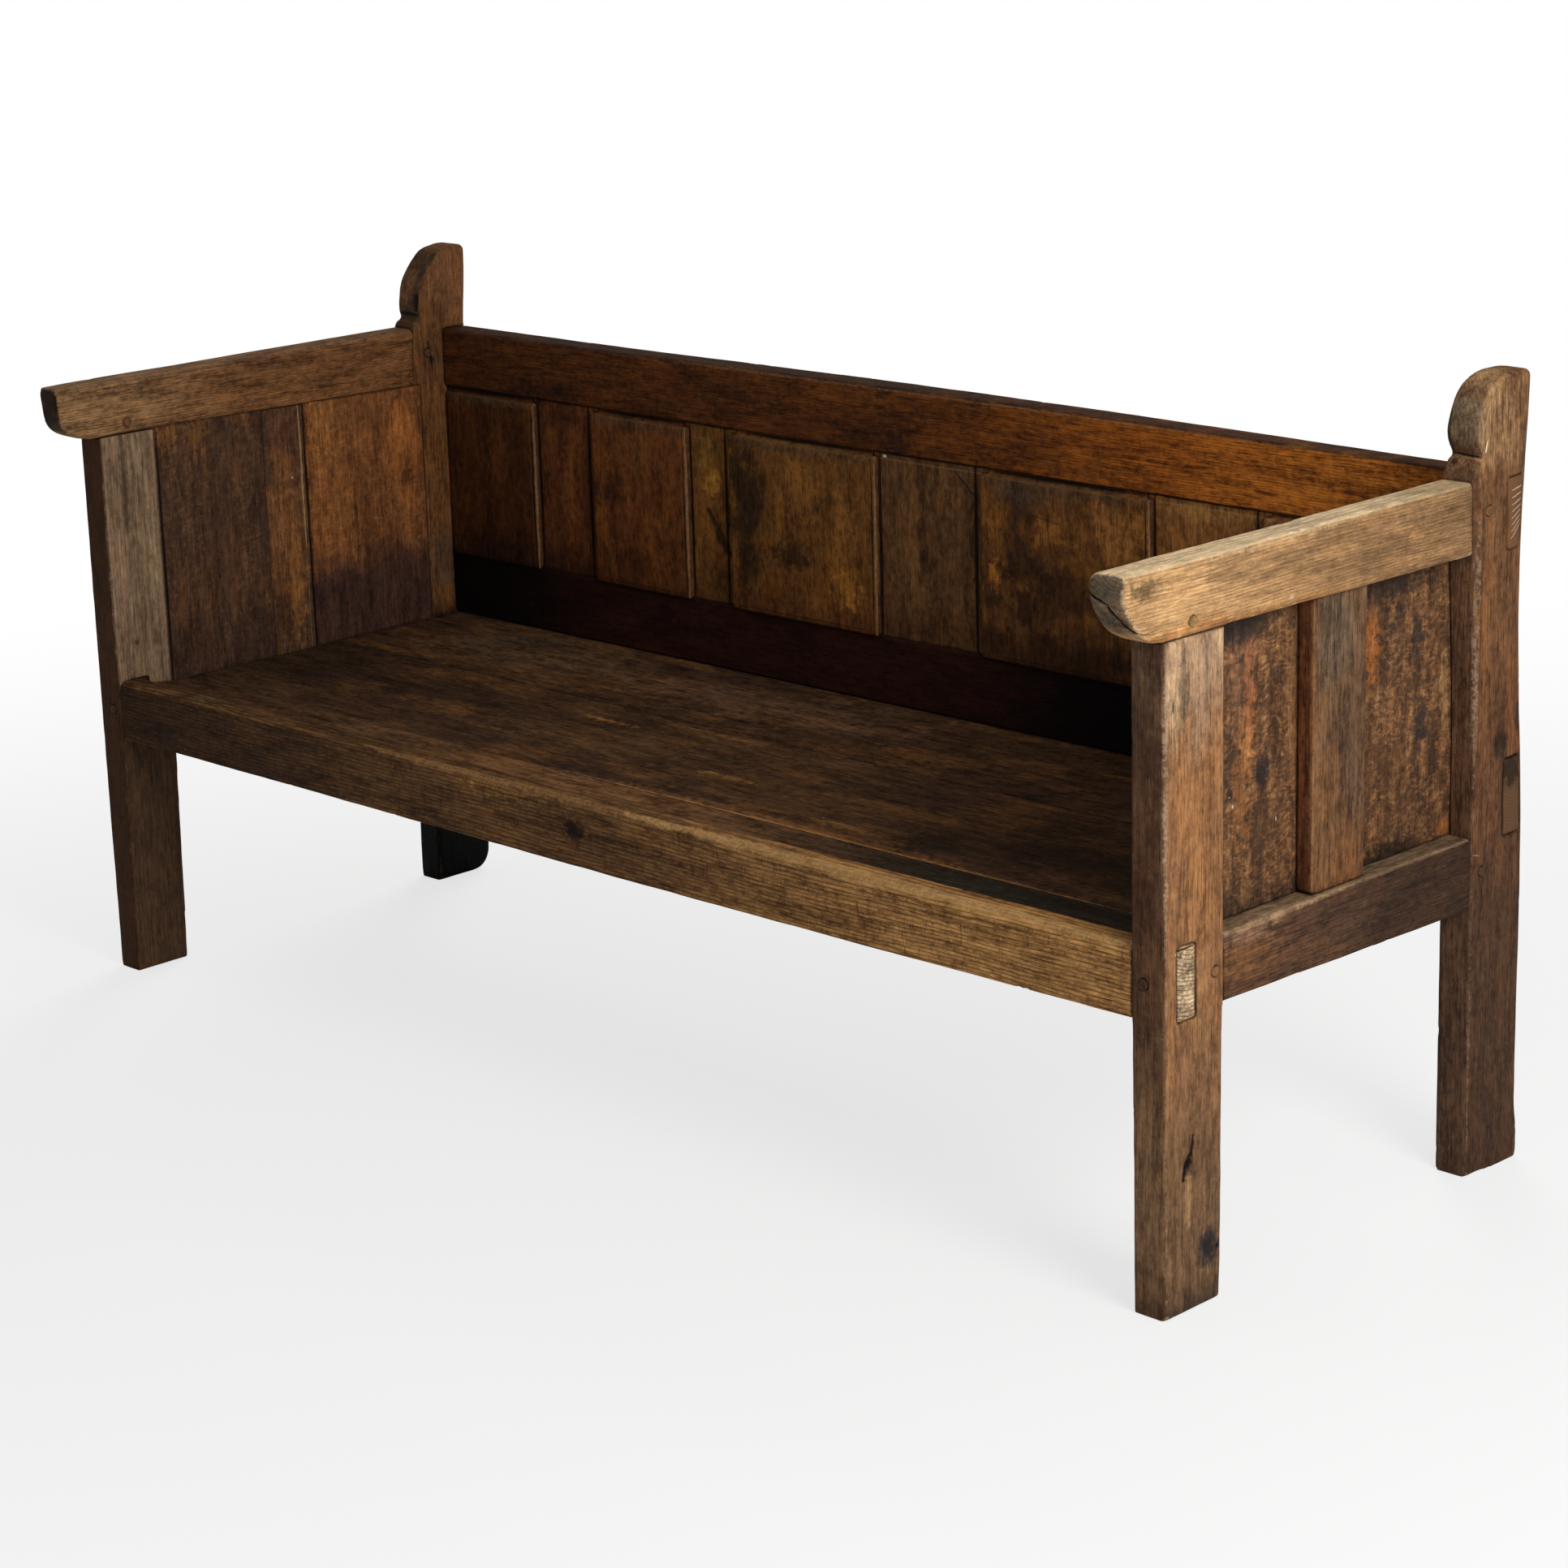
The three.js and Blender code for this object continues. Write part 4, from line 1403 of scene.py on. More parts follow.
@dataclass
class EndFrame:
    """One panelled end: its posts, arm, side rail, muntin, panels and pegs."""

    side: Side

    post: OakFinish = OakFinish("#936946", warm="#a27042", worn="#c4a680", smoke="#553f2c", warm_share=0.5,
                                cloud_size=70, contrast=0.95)
    shaded_post: OakFinish = OakFinish("#563d2b", warm="#6b4529", worn="#927355", smoke="#2f211a", rub=0.3,
                                       contrast=0.85, ring=0.25)
    back_post: OakFinish = OakFinish("#725034", warm="#85562e", worn="#a58a70", smoke="#33251b", soiling_and_shade=0.3,
                                     contrast=1.1)
    inner_post: OakFinish = OakFinish("#6e4929", warm="#855328", worn="#94734f", smoke="#38261b", rub=0.15,
                                      soiling_and_shade=0.5)
    pale_arm: OakFinish = OakFinish("#a9825a", warm="#ba8d58", worn="#dcc096", smoke="#83694d",
                                    warm_share=0.5, cloud_size=30, contrast=0.75, ring=0.32, ring_gap=3.9,
                                    pore=0.35, streak=0.26, scuff=0.5, rub=0.8, roughness=0.8, relief=1.6,
                                    soiling_and_shade=0.5)
    brown_arm: OakFinish = OakFinish("#7d5535", warm="#96683a", worn="#b08c5e", smoke="#4c3624", ring=0.35,
                                     ring_gap=3.6, contrast=1.15)
    rail: OakFinish = OakFinish("#543b2a", warm="#704b2e", worn="#a08363", smoke="#2c1f17", ring=0.25,
                                contrast=1.1)
    muntin: OakFinish = OakFinish("#684e38", warm="#7e5732", worn="#a3835f", smoke="#40342b", cloud_size=70,
                                  contrast=1.15, ring=0.12, soiling_and_shade=0.5)
    panel: OakFinish = OakFinish("#4f3828", warm="#63452d", worn="#ad8c62", smoke="#2b2422", cloud_size=36,
                                 fleck="#90643f", fleck_share=0.8, fleck_size=5.0, contrast=0.8, ring=0.06,
                                 streak=0.12, scuff=0.15)
    dark_panel: OakFinish = OakFinish("#4f392b", warm="#6c4627", worn="#8f7152", smoke="#2f211b",
                                      cloud_size=45, contrast=0.95, ring=0.08, fleck="#6e4b30",
                                      fleck_share=0.45, rub=0.2, soiling_and_shade=0.2)
    gold_panel: OakFinish = OakFinish("#80502e", warm="#9c6031", worn="#ab8053", smoke="#3b271b",
                                      cloud_size=50, contrast=0.95, ring=0.08, fleck="#a06838",
                                      fleck_share=0.5, rub=0.2, soiling_and_shade=0.5)

    left_peg_seed = 40
    right_peg_seed = 60

    def timbers(self) -> list[Timber | Peg]:
        """The end's pieces.

        Returns:
            Each timber and peg of this end.
        """
        return (self.left_end() if self.side == Side.LEFT else self.right_end()) + self.pegs()

    def right_end(self) -> list[Timber]:
        """The timbers of the right end, seen from outside in the light.

        Returns:
            The posts, the arm, the side rail, the muntin and the panels.
        """
        return [
            Timber("front_post_right", "post_oak", self.post, Grain.HEIGHT, 3, (120, -60), marks=(
                Fade(2, 0.76, 0.97, "#b99a7b", 0.9),
                Fade(2, 0.5, 0.1, "#6e563f", 0.8),
                Fade(2, 0.06, 0.0, "#3d2e24", 0.75),
                Stain((1, 0.72, 0.7), (20, 15, 150), "#8f623c", 0.5),
                Stain((1, 0.16, 0.9), (20, 12, 90), "#c5a684", 0.6),
                Stain((1, 0.62, 0.9), (20, 22, 90), "#a98a70", 0.6, 0.9),
                Stain((1, 0.3, 0.88), (16, 9, 44), "#5f5747", 0.7, 0.9),
                Stain((1, 0.55, 0.45), (16, 14, 60), "#a67c52", 0.5),
                Stain((1, 0.42, 0.225), (10, 18, 44), "#6b4f36", 0.7, 0.9),
                Stain((1, 0.37, 0.16), (10, 7, 40), "#b08a60", 0.5, 0.9),
                Stain((1, 0.72, 0.084), (16, 22, 28), "#232326", 0.93, 0.5),
                # darker front face: painted shade on the side turned away from the light
                Tint(Face.FRONT, "#4f3625", 0.93, 0.2),
                Stain((0.5, 0, 0.86), (34, 10, 100), "#452f22", 0.35),
                Stain((0.5, 0, 0.2), (34, 10, 160), "#8b6c4e", 0.65),
                Stain((0.35, 0, 0.59), (18, 8, 55), "#4a2819", 0.6),
                Tint(Face.LEFT, "#4b3526", 0.7, 0.3),
                Knot((1, 0.72, 0.084), 9, "#231d19", 0.7),
                Knot((1, 0.4, 0.22), 7, "#5a3f2a", 0.5),
                Stain((1, 0.88, 0.08), (5, 2.6, 3.2), "#0b0807", 0.9, 0.2, True),
                Stain((1, 0.13, 0.86), (8, 2.4, 7), "#3c3126", 0.8, 0.5, True),
                Stain((1, 0.17, 0.52), (6, 1.3, 1.3), "#e2d5bd", 0.9, 0.1, True),
                Stain((1, 0.38, 0.214), (8, 5, 12), "#4a463f", 0.8, 0.5, True),
                Line((1, 0.48, 0.255), (1, 0.43, 0.225), "#150d08", 3.2, 0.95, 5, depth=1.6),
                Line((1, 0.43, 0.227), (1, 0.31, 0.196), "#120b07", 7.5, 0.97, 7, depth=2.8),
                Line((0, 0, 0.405), (1, 0, 0.41), "#2a1c13", 0.9, 0.6, 2),
                Line((1, 0, 0.5), (1, 0, 0.97), "#c8a988", 4.2, 0.6, 2.5, 0.8),
                Line((1, 0, 0.02), (1, 0, 0.5), "#a9835f", 3.2, 0.5, 2.5, 0.8),
                Line((1, 1, 0.55), (1, 1, 0.99), "#c0a27c", 3.0, 0.5, 2.5, 0.6),
                Dent((1, 0.36, 0.21), (6, 9, 20), 3.0),
            )),
            Timber("back_post_right", "post_oak", self.back_post, Grain.HEIGHT, 4, (90, 70), marks=(
                Fade(2, 0.72, 0.55, "#634129", 0.7),
                Fade(2, 0.5, 0.33, "#4c3524", 0.9),
                Stain((1, 0.8, 0.62), (16, 22, 170), "#7d4e2b", 0.6),
                Stain((0.5, 0.3, 0.95), (60, 70, 80), "#a7835d", 0.85),
                Stain((1, 0.3, 0.95), (12, 16, 30), "#7a573a", 0.5, 0.9),
                Stain((1, 0.5, 0.545), (16, 15, 22), "#221a14", 0.8),
                Stain((1, 0.88, 0.57), (16, 9, 26), "#2a211a", 0.75, 0.9),
                Stain((1, 0.6, 0.48), (14, 12, 60), "#33261d", 0.6),
                Stain((1, 0.9, 0.75), (10, 10, 30), "#8a6446", 0.5, 0.9),
                Tint(Face.FRONT, "#5a4232", 0.85, 0.3),
                Stain((0.5, 0, 0.965), (40, 14, 50), "#7a6a54", 0.8),
                Stain((0.4, 0, 0.898), (40, 14, 9), "#8a6546", 0.7),
                Tint(Face.BACK, "#54402f", 0.6, 0.4),
                Stain((0.3, 0, 0.898), (6, 8, 4.5), "#0f0906", 0.9, 0.3, True),
                Stain((1, 0.32, 0.78), (6, 5, 6), "#4c3524", 0.7, 0.6, True),
                Line((1, 0, 0.5), (1, 0, 0.83), "#9a8069", 4.8, 0.75, 6, 1.0),
                Line((1, 0.07, 0.5), (1, 0.07, 0.83), "#3a281c", 1.6, 0.6, 3, 0.7),
                Line((1, 0, 0.04), (1, 0, 0.5), "#94775f", 2.6, 0.5, 3, 0.85),
                Line((1, 0.02, 0.93), (1, 0.3, 0.998), "#c2a380", 2.4, 0.6, 4, 0.7),
                Line((1, 0.1, 0.912), (1, 0.13, 0.925), "#e8dabb", 2.0, 0.9, 3),
                Line((1, 0.03, 0.418), (1, 0.13, 0.415), "#a58a72", 1.0, 0.7, 1),
                Line((0.126, 0, 0.959), (0.148, 0, 0.914), "#0e0906", 1.3, 0.95, 1.5),
                # black line under the ear's curl: painted shadow
                Line((0, 0, 0.909), (1, 0, 0.906), "#0e0906", 2.4, 0.95, 1),
                Line((0, 0, 0.886), (1, 0, 0.886), "#18100b", 1.6, 0.8, 1, 0.4),
            )),
            Timber("arm_right", "arm_oak", self.pale_arm, Grain.DEPTH, 5, (40, 130), wear_steps=10, wave=0.9,
                   marks=(
                Fade(1, 0.55, 0.12, "#d9ac78", 0.92),
                Fade(1, 0.55, 0.95, "#927050", 0.75),
                Stain((1, 0.17, 0.08), (14, 120, 12), "#bd7f45", 0.7, 0.9),
                Stain((1, 0.42, 0.06), (14, 110, 9), "#a8733f", 0.6, 0.9),
                Stain((1, 0.36, 0.6), (14, 90, 18), "#9c7b58", 0.45, 0.9),
                Stain((1, 0.62, 0.4), (14, 80, 22), "#866848", 0.45, 0.9),
                Stain((1, 0.85, 0.6), (14, 80, 24), "#80633f", 0.55, 0.9),
                Stain((1, 0.75, 0.2), (14, 80, 10), "#b58a5e", 0.45, 0.9),
                Stain((1, 0.055, 0.8), (14, 24, 12), "#5b4f35", 0.7, 1.0),
                Stain((1, 0.14, 0.02), (12, 60, 7), "#43352a", 0.8),
                Stain((1, 0.418, 0.16), (8, 5, 4), "#cdae8c", 0.8, 0.2),
                Tint(Face.TOP, "#ead0a8", 0.9, 0.25),
                Stain((0.5, 0.86, 1), (40, 70, 14), "#a88a62", 0.6, 1.0),
                Tint(Face.FRONT, "#716354", 0.9, 0.2),
                Stain((0.6, 0, 0.85), (34, 12, 14), "#5e5745", 0.7),
                Stain((0.5, 0.01, 0.24), (34, 22, 26), "#4a423b", 0.8),
                Tint(Face.LEFT, "#6a4d33", 0.7, 0.3),
                Line((1, 0.03, 1), (1, 0.66, 1), "#dfc395", 7, 0.7, 8, 0.85),
                Line((1, 0.6, 1), (1, 1, 1), "#b5976d", 5, 0.6, 6, 0.85),
                Line((1, 0, 0.2), (1, 0, 0.85), "#dfc59c", 5, 0.7, 5, 0.6),
                Line((0, 0, 0.76), (0.5, 0, 0.62), "#070403", 2.2, 1.0, 3, depth=1.6, inward=0.02),
                Line((0.5, 0, 0.62), (0.7, 0, 0.42), "#070403", 2.6, 1.0, 3, depth=1.6, inward=0.02),
                Line((0.7, 0, 0.42), (1, 0, 0.2), "#070403", 2.2, 1.0, 3, depth=1.6, inward=0.02),
                Line((0.58, 0, 0.64), (0.74, 0, 0.5), "#a89a86", 1.2, 0.6, 2, inward=0.02),
            )),
            Timber("side_rail_right", "rail_oak", self.rail, Grain.DEPTH, 6, (70, 80), marks=(
                Fade(1, 0.3, 0.7, "#38261a", 0.88),
                Stain((1, 0.14, 0.6), (14, 70, 26), "#7e5635", 0.7, 1.0),
                Stain((1, 0.12, 0.92), (14, 80, 16), "#94745a", 0.75, 0.8),
                Stain((1, 0.5, 0.45), (12, 60, 20), "#5d4333", 0.5, 0.9),
                Tint(Face.TOP, "#8a745a", 0.85, 0.3),
                Line((1, 0, 1), (1, 0.5, 1), "#b89570", 5, 0.7, 5, 0.75),
                Line((1, 0.5, 1), (1, 1, 1), "#84694c", 2.6, 0.6, 3, 0.7),
            )),
            Timber("muntin_right", "end_panel_oak", self.muntin, Grain.HEIGHT, 7, (80, 60), marks=(
                Fade(2, 0.35, 0.05, "#70492b", 0.5),
                Stain((1, 0.4, 0.82), (14, 40, 75), "#635444", 0.7),
                Stain((1, 0.3, 0.4), (14, 24, 60), "#7f5734", 0.6, 0.9),
                Stain((1, 0.6, 0.15), (14, 26, 50), "#80542f", 0.6, 0.9),
                Tint(Face.FRONT, "#623923", 0.9, 0.2),
                Stain((0.5, 0, 0.5), (7, 10, 160), "#7c4a2a", 0.6, 0.9),
                Stain((0.5, 0, 0.02), (34, 12, 34), "#120e0b", 0.85),
                Line((1, 0, 0.08), (1, 0, 0.95), "#a06f41", 3.6, 0.6, 4, 0.7),
                Line((1, 0, 0.01), (1, 1, 0.01), "#8d7355", 2.6, 0.5, 2, 0.6),
            )),
            Timber("end_panel_front_right", "end_panel_oak", self.panel, Grain.HEIGHT, 8, (300, 20), 2.5,
                   wave=0.3, marks=(
                Stain((1, 0.49, 0.69), (10, 12, 90), "#ae6c3c", 0.6, 1.3),
                Stain((1, 0.47, 0.56), (10, 9, 26), "#c98e54", 0.5, 1.3),
                Stain((1, 0.42, 0.42), (10, 14, 60), "#9a6538", 0.5, 1.4),
                Stain((1, 0.92, 0.7), (10, 14, 110), "#85603d", 0.5, 1.3),
                Stain((1, 0.2, 0.6), (10, 18, 100), "#4b3a32", 0.4, 1.3),
                Stain((1, 0.4, 0.79), (10, 28, 60), "#a87d64", 0.25, 1.1),
                Stain((1, 0.4, 0.935), (10, 80, 26), "#332b28", 0.9, 0.5),
                Stain((1, 0.62, 0.49), (10, 18, 24), "#2c2a2c", 0.85, 0.9),
                Fade(2, 0.22, 0.04, "#3c2f27", 0.85),
                Stain((1, 0.31, 0.44), (10, 6, 9), "#1f1917", 0.8, 0.8),
                Stain((1, 0.34, 0.41), (4, 1.8, 2.6), "#d5cbbb", 0.9, 0.1, True),
                Stain((1, 0.31, 0.44), (4, 1.6, 1.4), "#b9a996", 0.7, 0.1, True),
                Stain((1, 0.75, 0.33), (4, 1.3, 3), "#cdbfae", 0.9, 0.1, True),
            )),
            Timber("end_panel_rear_right", "end_panel_oak", self.panel, Grain.HEIGHT, 9, (280, 60), 2.5,
                   wave=0.3, marks=(
                Stain((1, 0.23, 0.76), (10, 20, 50), "#a86732", 0.7, 1.2),
                Stain((1, 0.1, 0.55), (10, 14, 110), "#8e582d", 0.55, 1.3),
                Stain((1, 0.15, 0.38), (10, 26, 80), "#563620", 0.6, 1.2),
                Stain((1, 0.42, 0.33), (10, 46, 60), "#4a2f1b", 0.38, 1.2),
                Stain((1, 0.88, 0.56), (10, 9, 36), "#a9845a", 0.55, 1.5),
                Stain((1, 0.35, 0.93), (10, 100, 26), "#2f2622", 0.8, 0.9),
                Stain((1, 0.45, 0.78), (10, 14, 40), "#352a25", 0.6, 1.3),
                Stain((1, 0.67, 0.474), (10, 17, 34), "#2c292a", 0.85, 0.9),
                Stain((1, 0.62, 0.755), (10, 14, 24), "#302b2b", 0.8, 1.1),
                Stain((1, 0.35, 0.08), (10, 90, 26), "#251c16", 0.85),
                Stain((1, 0.9, 0.1), (10, 14, 24), "#9c6434", 0.7),
            )),
        ]

    def left_end(self) -> list[Timber]:
        """The timbers of the left end, seen from inside.

        Returns:
            The posts, the arm, the side rail, the muntin and the panels.
        """
        return [
            Timber("front_post_left", "post_oak", self.shaded_post, Grain.HEIGHT, 13, (110, 60), marks=(
                Tint(Face.RIGHT, "#92795f", 0.95, 0.2),
                Stain((1, 0.37, 0.88), (9, 6, 90), "#4f4032", 0.7, 0.9),
                Stain((1, 0.8, 0.75), (9, 9, 120), "#a58c6e", 0.5),
                Stain((1, 0.2, 0.7), (9, 7, 90), "#a5846a", 0.5, 0.9),
                Stain((1, 0.55, 0.62), (9, 8, 70), "#6b553e", 0.6, 0.9),
                Fade(2, 0.47, 0.41, "#4c3421", 0.9),
                # darker front face: painted shade on the side turned away from the light
                Tint(Face.FRONT, "#3f2308", 0.96, 0.15),
                Tint(Face.LEFT, "#5d452f", 0.6, 0.4),
                Knot((1, 0.39, 0.586), 3.5, strength=0.6),
                Line((1, 0.93, 0.5), (1, 0.93, 0.97), "#a98f72", 2.0, 0.6, 1.5, 0.5),
                Line((1, 0, 0.5), (1, 0, 0.98), "#a0836c", 2.8, 0.65, 4, 0.7),
                Line((1, 0, 0.03), (1, 0, 0.5), "#7d6248", 2.4, 0.5, 3, 0.7),
            )),
            Timber("back_post_left", "post_oak", self.inner_post, Grain.HEIGHT, 14, (80, -70), marks=(
                Stain((0.95, 0.65, 0.96), (30, 40, 60), "#7b5136", 0.7, 0.8),
                Stain((1, 0.85, 0.93), (14, 14, 60), "#8f5f38", 0.5, 0.9),
                Stain((1, 0.6, 0.52), (12, 50, 60), "#4f4034", 0.6),
                Stain((1, 0.35, 0.83), (12, 22, 40), "#573a28", 0.6, 0.9),
                Tint(Face.FRONT, "#433323", 0.93, 0.2),
                Stain((0.5, 0, 0.7), (30, 14, 130), "#5a4029", 0.8),
                Stain((0.35, 0.2, 0.955), (26, 22, 40), "#7a5638", 0.7),
                # black foot: painted shadow under the seat; the back and left tints below keep those faces
                # brown
                Fade(2, 0.47, 0.4, "#020101", 1.0),
                Tint(Face.BACK, "#5c4431", 0.97, 0.1),
                Tint(Face.LEFT, "#4f3a2a", 0.97, 0.1),
                Stain((1, 0.774, 0.979), (6, 2.6, 4), "#140c07", 0.9, 0.3, True),
                Stain((1, 0.345, 0.83), (6, 5, 8), "#0d0806", 0.9, 0.5, True),
                Line((1, 0.3, 0.86), (1, 0.36, 0.81), "#160d08", 2.4, 0.8, 5),
                Line((1, 0.168, 0.939), (1, 0.146, 0.9), "#0d0806", 2.2, 0.95, 2),
                # black lines under the ear's curl, on the front and the inner side: painted shadow
                Line((0, 0, 0.9), (1, 0, 0.9), "#060302", 6.0, 1.0, 1),
                Line((1, 0, 0.899), (1, 0.16, 0.897), "#060302", 4.0, 0.95, 2),
                Line((1, 0, 0.9), (1, 0.5, 0.995), "#2a1c13", 2.2, 0.5, 3, 0.6),
                Line((1, 0, 0.45), (1, 0, 0.85), "#8c6542", 2.2, 0.5, 2, 0.7),
                Line((1, 0.6, 0.9), (1, 0.62, 0.94), "#2a190f", 0.9, 0.7, 3),
            )),
            Timber("arm_left", "arm_oak", self.brown_arm, Grain.DEPTH, 15, (50, 120), wear_steps=6, marks=(
                Fade(1, 0.5, 0.05, "#9d7a54", 0.9),
                Fade(1, 0.5, 0.9, "#7f5331", 0.6),
                Stain((1, 0.2, 0.1), (10, 90, 12), "#7a5233", 0.5, 0.9),
                Stain((1, 0.55, 0.75), (10, 60, 12), "#6a4a2c", 0.5, 1.0),
                Stain((1, 0.17, 0.27), (8, 5, 5), "#33231a", 0.8, 0.3),
                Tint(Face.FRONT, "#1e0f03", 0.98, 0.1),
                Tint(Face.TOP, "#7d6247", 0.6, 0.4),
                Line((1, 0, 0.05), (1, 0, 0.9), "#a18058", 2.6, 0.5, 2, 0.6),
                Line((1, 0.02, 1), (1, 0.98, 1), "#382719", 2.4, 0.7, 2, 0.4),
            )),
            Timber("side_rail_left", "rail_oak", self.rail, Grain.DEPTH, 16, (60, 90)),
            Timber("muntin_left", "end_panel_oak", self.dark_panel, Grain.HEIGHT, 17, (90, 50), marks=(
                Stain((1, 0.5, 0.8), (12, 34, 90), "#5f3d2a", 0.6),
                Stain((1, 0.45, 0.5), (12, 38, 130), "#99653b", 0.75, 0.8),
                Stain((1, 0.55, 0.32), (12, 22, 90), "#926334", 0.7, 1.1),
                Stain((1, 0.3, 0.3), (12, 12, 90), "#6b4529", 0.6, 0.9),
                Stain((1, 0.6, 0.683), (6, 1.8, 1.8), "#d9c39e", 0.95, 0.1, True),
                Line((1, 0.78, 0.42), (1, 0.78, 0.97), "#c49a72", 2.4, 0.8, 1.2, 0.3),
                Line((1, 0.78, 0.02), (1, 0.78, 0.42), "#94704c", 1.8, 0.6, 1.2, 0.5),
                Line((1, 0.87, 0.02), (1, 0.87, 0.99), "#070403", 4.4, 0.98, 0.5),
            )),
            Timber("end_panel_front_left", "end_panel_oak", self.dark_panel, Grain.HEIGHT, 18, (260, 40), 2.5,
                   wave=0.3, marks=(
                Stain((1, 0.16, 0.95), (10, 20, 26), "#8f6135", 0.65, 1.3),
                Stain((1, 0.42, 0.93), (10, 18, 34), "#875b32", 0.6, 1.3),
                Stain((1, 0.8, 0.96), (10, 22, 18), "#7b5330", 0.6, 1.3),
                Stain((1, 0.3, 0.38), (10, 24, 34), "#6b4a2f", 0.5, 1.3),
                Stain((1, 0.55, 0.5), (10, 50, 80), "#593b2b", 0.5),
                Stain((1, 0.97, 0.9), (10, 7, 30), "#2a1d16", 0.6),
                # darker towards the bottom: painted shade low inside the end
                Fade(2, 0.3, 0.05, "#3f2c24", 0.7),
                Line((1, 0.06, 0), (1, 0.06, 1), "#070403", 2.6, 0.95, 0.6),
            )),
            Timber("end_panel_rear_left", "end_panel_oak", self.gold_panel, Grain.HEIGHT, 19, (240, 30), 2.5,
                   wave=0.3, marks=(
                Stain((1, 0.13, 0.88), (10, 26, 60), "#b57a42", 0.7, 1.1),
                Stain((1, 0.82, 0.77), (10, 40, 100), "#ad6b36", 0.7, 1.0),
                Stain((1, 0.3, 0.6), (10, 14, 60), "#8c5a2c", 0.5, 1.3),
                Stain((1, 0.45, 0.9), (10, 60, 30), "#6b4528", 0.5, 1.1),
                Stain((1, 0.84, 0.63), (10, 14, 14), "#3a2519", 0.7, 0.9),
                Stain((1, 0.384, 0.5), (8, 5, 46), "#2f1f15", 0.6, 0.9),
                Stain((1, 0.66, 0.45), (8, 7, 60), "#4e3020", 0.5, 0.9),
                # darker towards the bottom: painted shade low inside the end
                Fade(2, 0.44, 0.26, "#412c28", 0.92),
            )),
        ]

    def pegs(self) -> list[Peg]:
        """The pegs that lock this end.

        Returns:
            A peg for each joint of the end.
        """
        is_left = self.side == Side.LEFT
        tones = {
            "arm_front": "#7a5435" if is_left else "#bb9262",
            "arm_back": "#5c3d27" if is_left else "#7a563a",
            "side_rail_front": "#5a4230" if is_left else "#8a6344",
            "side_rail_back": "#50392a",
            "seat_rail": "#4b3424" if is_left else "#503726",
            "top_rail": "#5a4330",
            "lower_rail": "#4a3628",
        }
        first = self.left_peg_seed if is_left else self.right_peg_seed
        return [Peg(f"peg_{place}_{self.side.value}", first + i, tone)
                for i, (place, tone) in enumerate(tones.items())]


@dataclass(frozen=True)
class BackBoard:
    """One board of the back: the colours of its body, warm clouds and dark foot (painted shade at the lower
    back), and its own marks.
    """

    body: str
    warm: str
    foot: str
    marks: tuple[Mark, ...] = ()


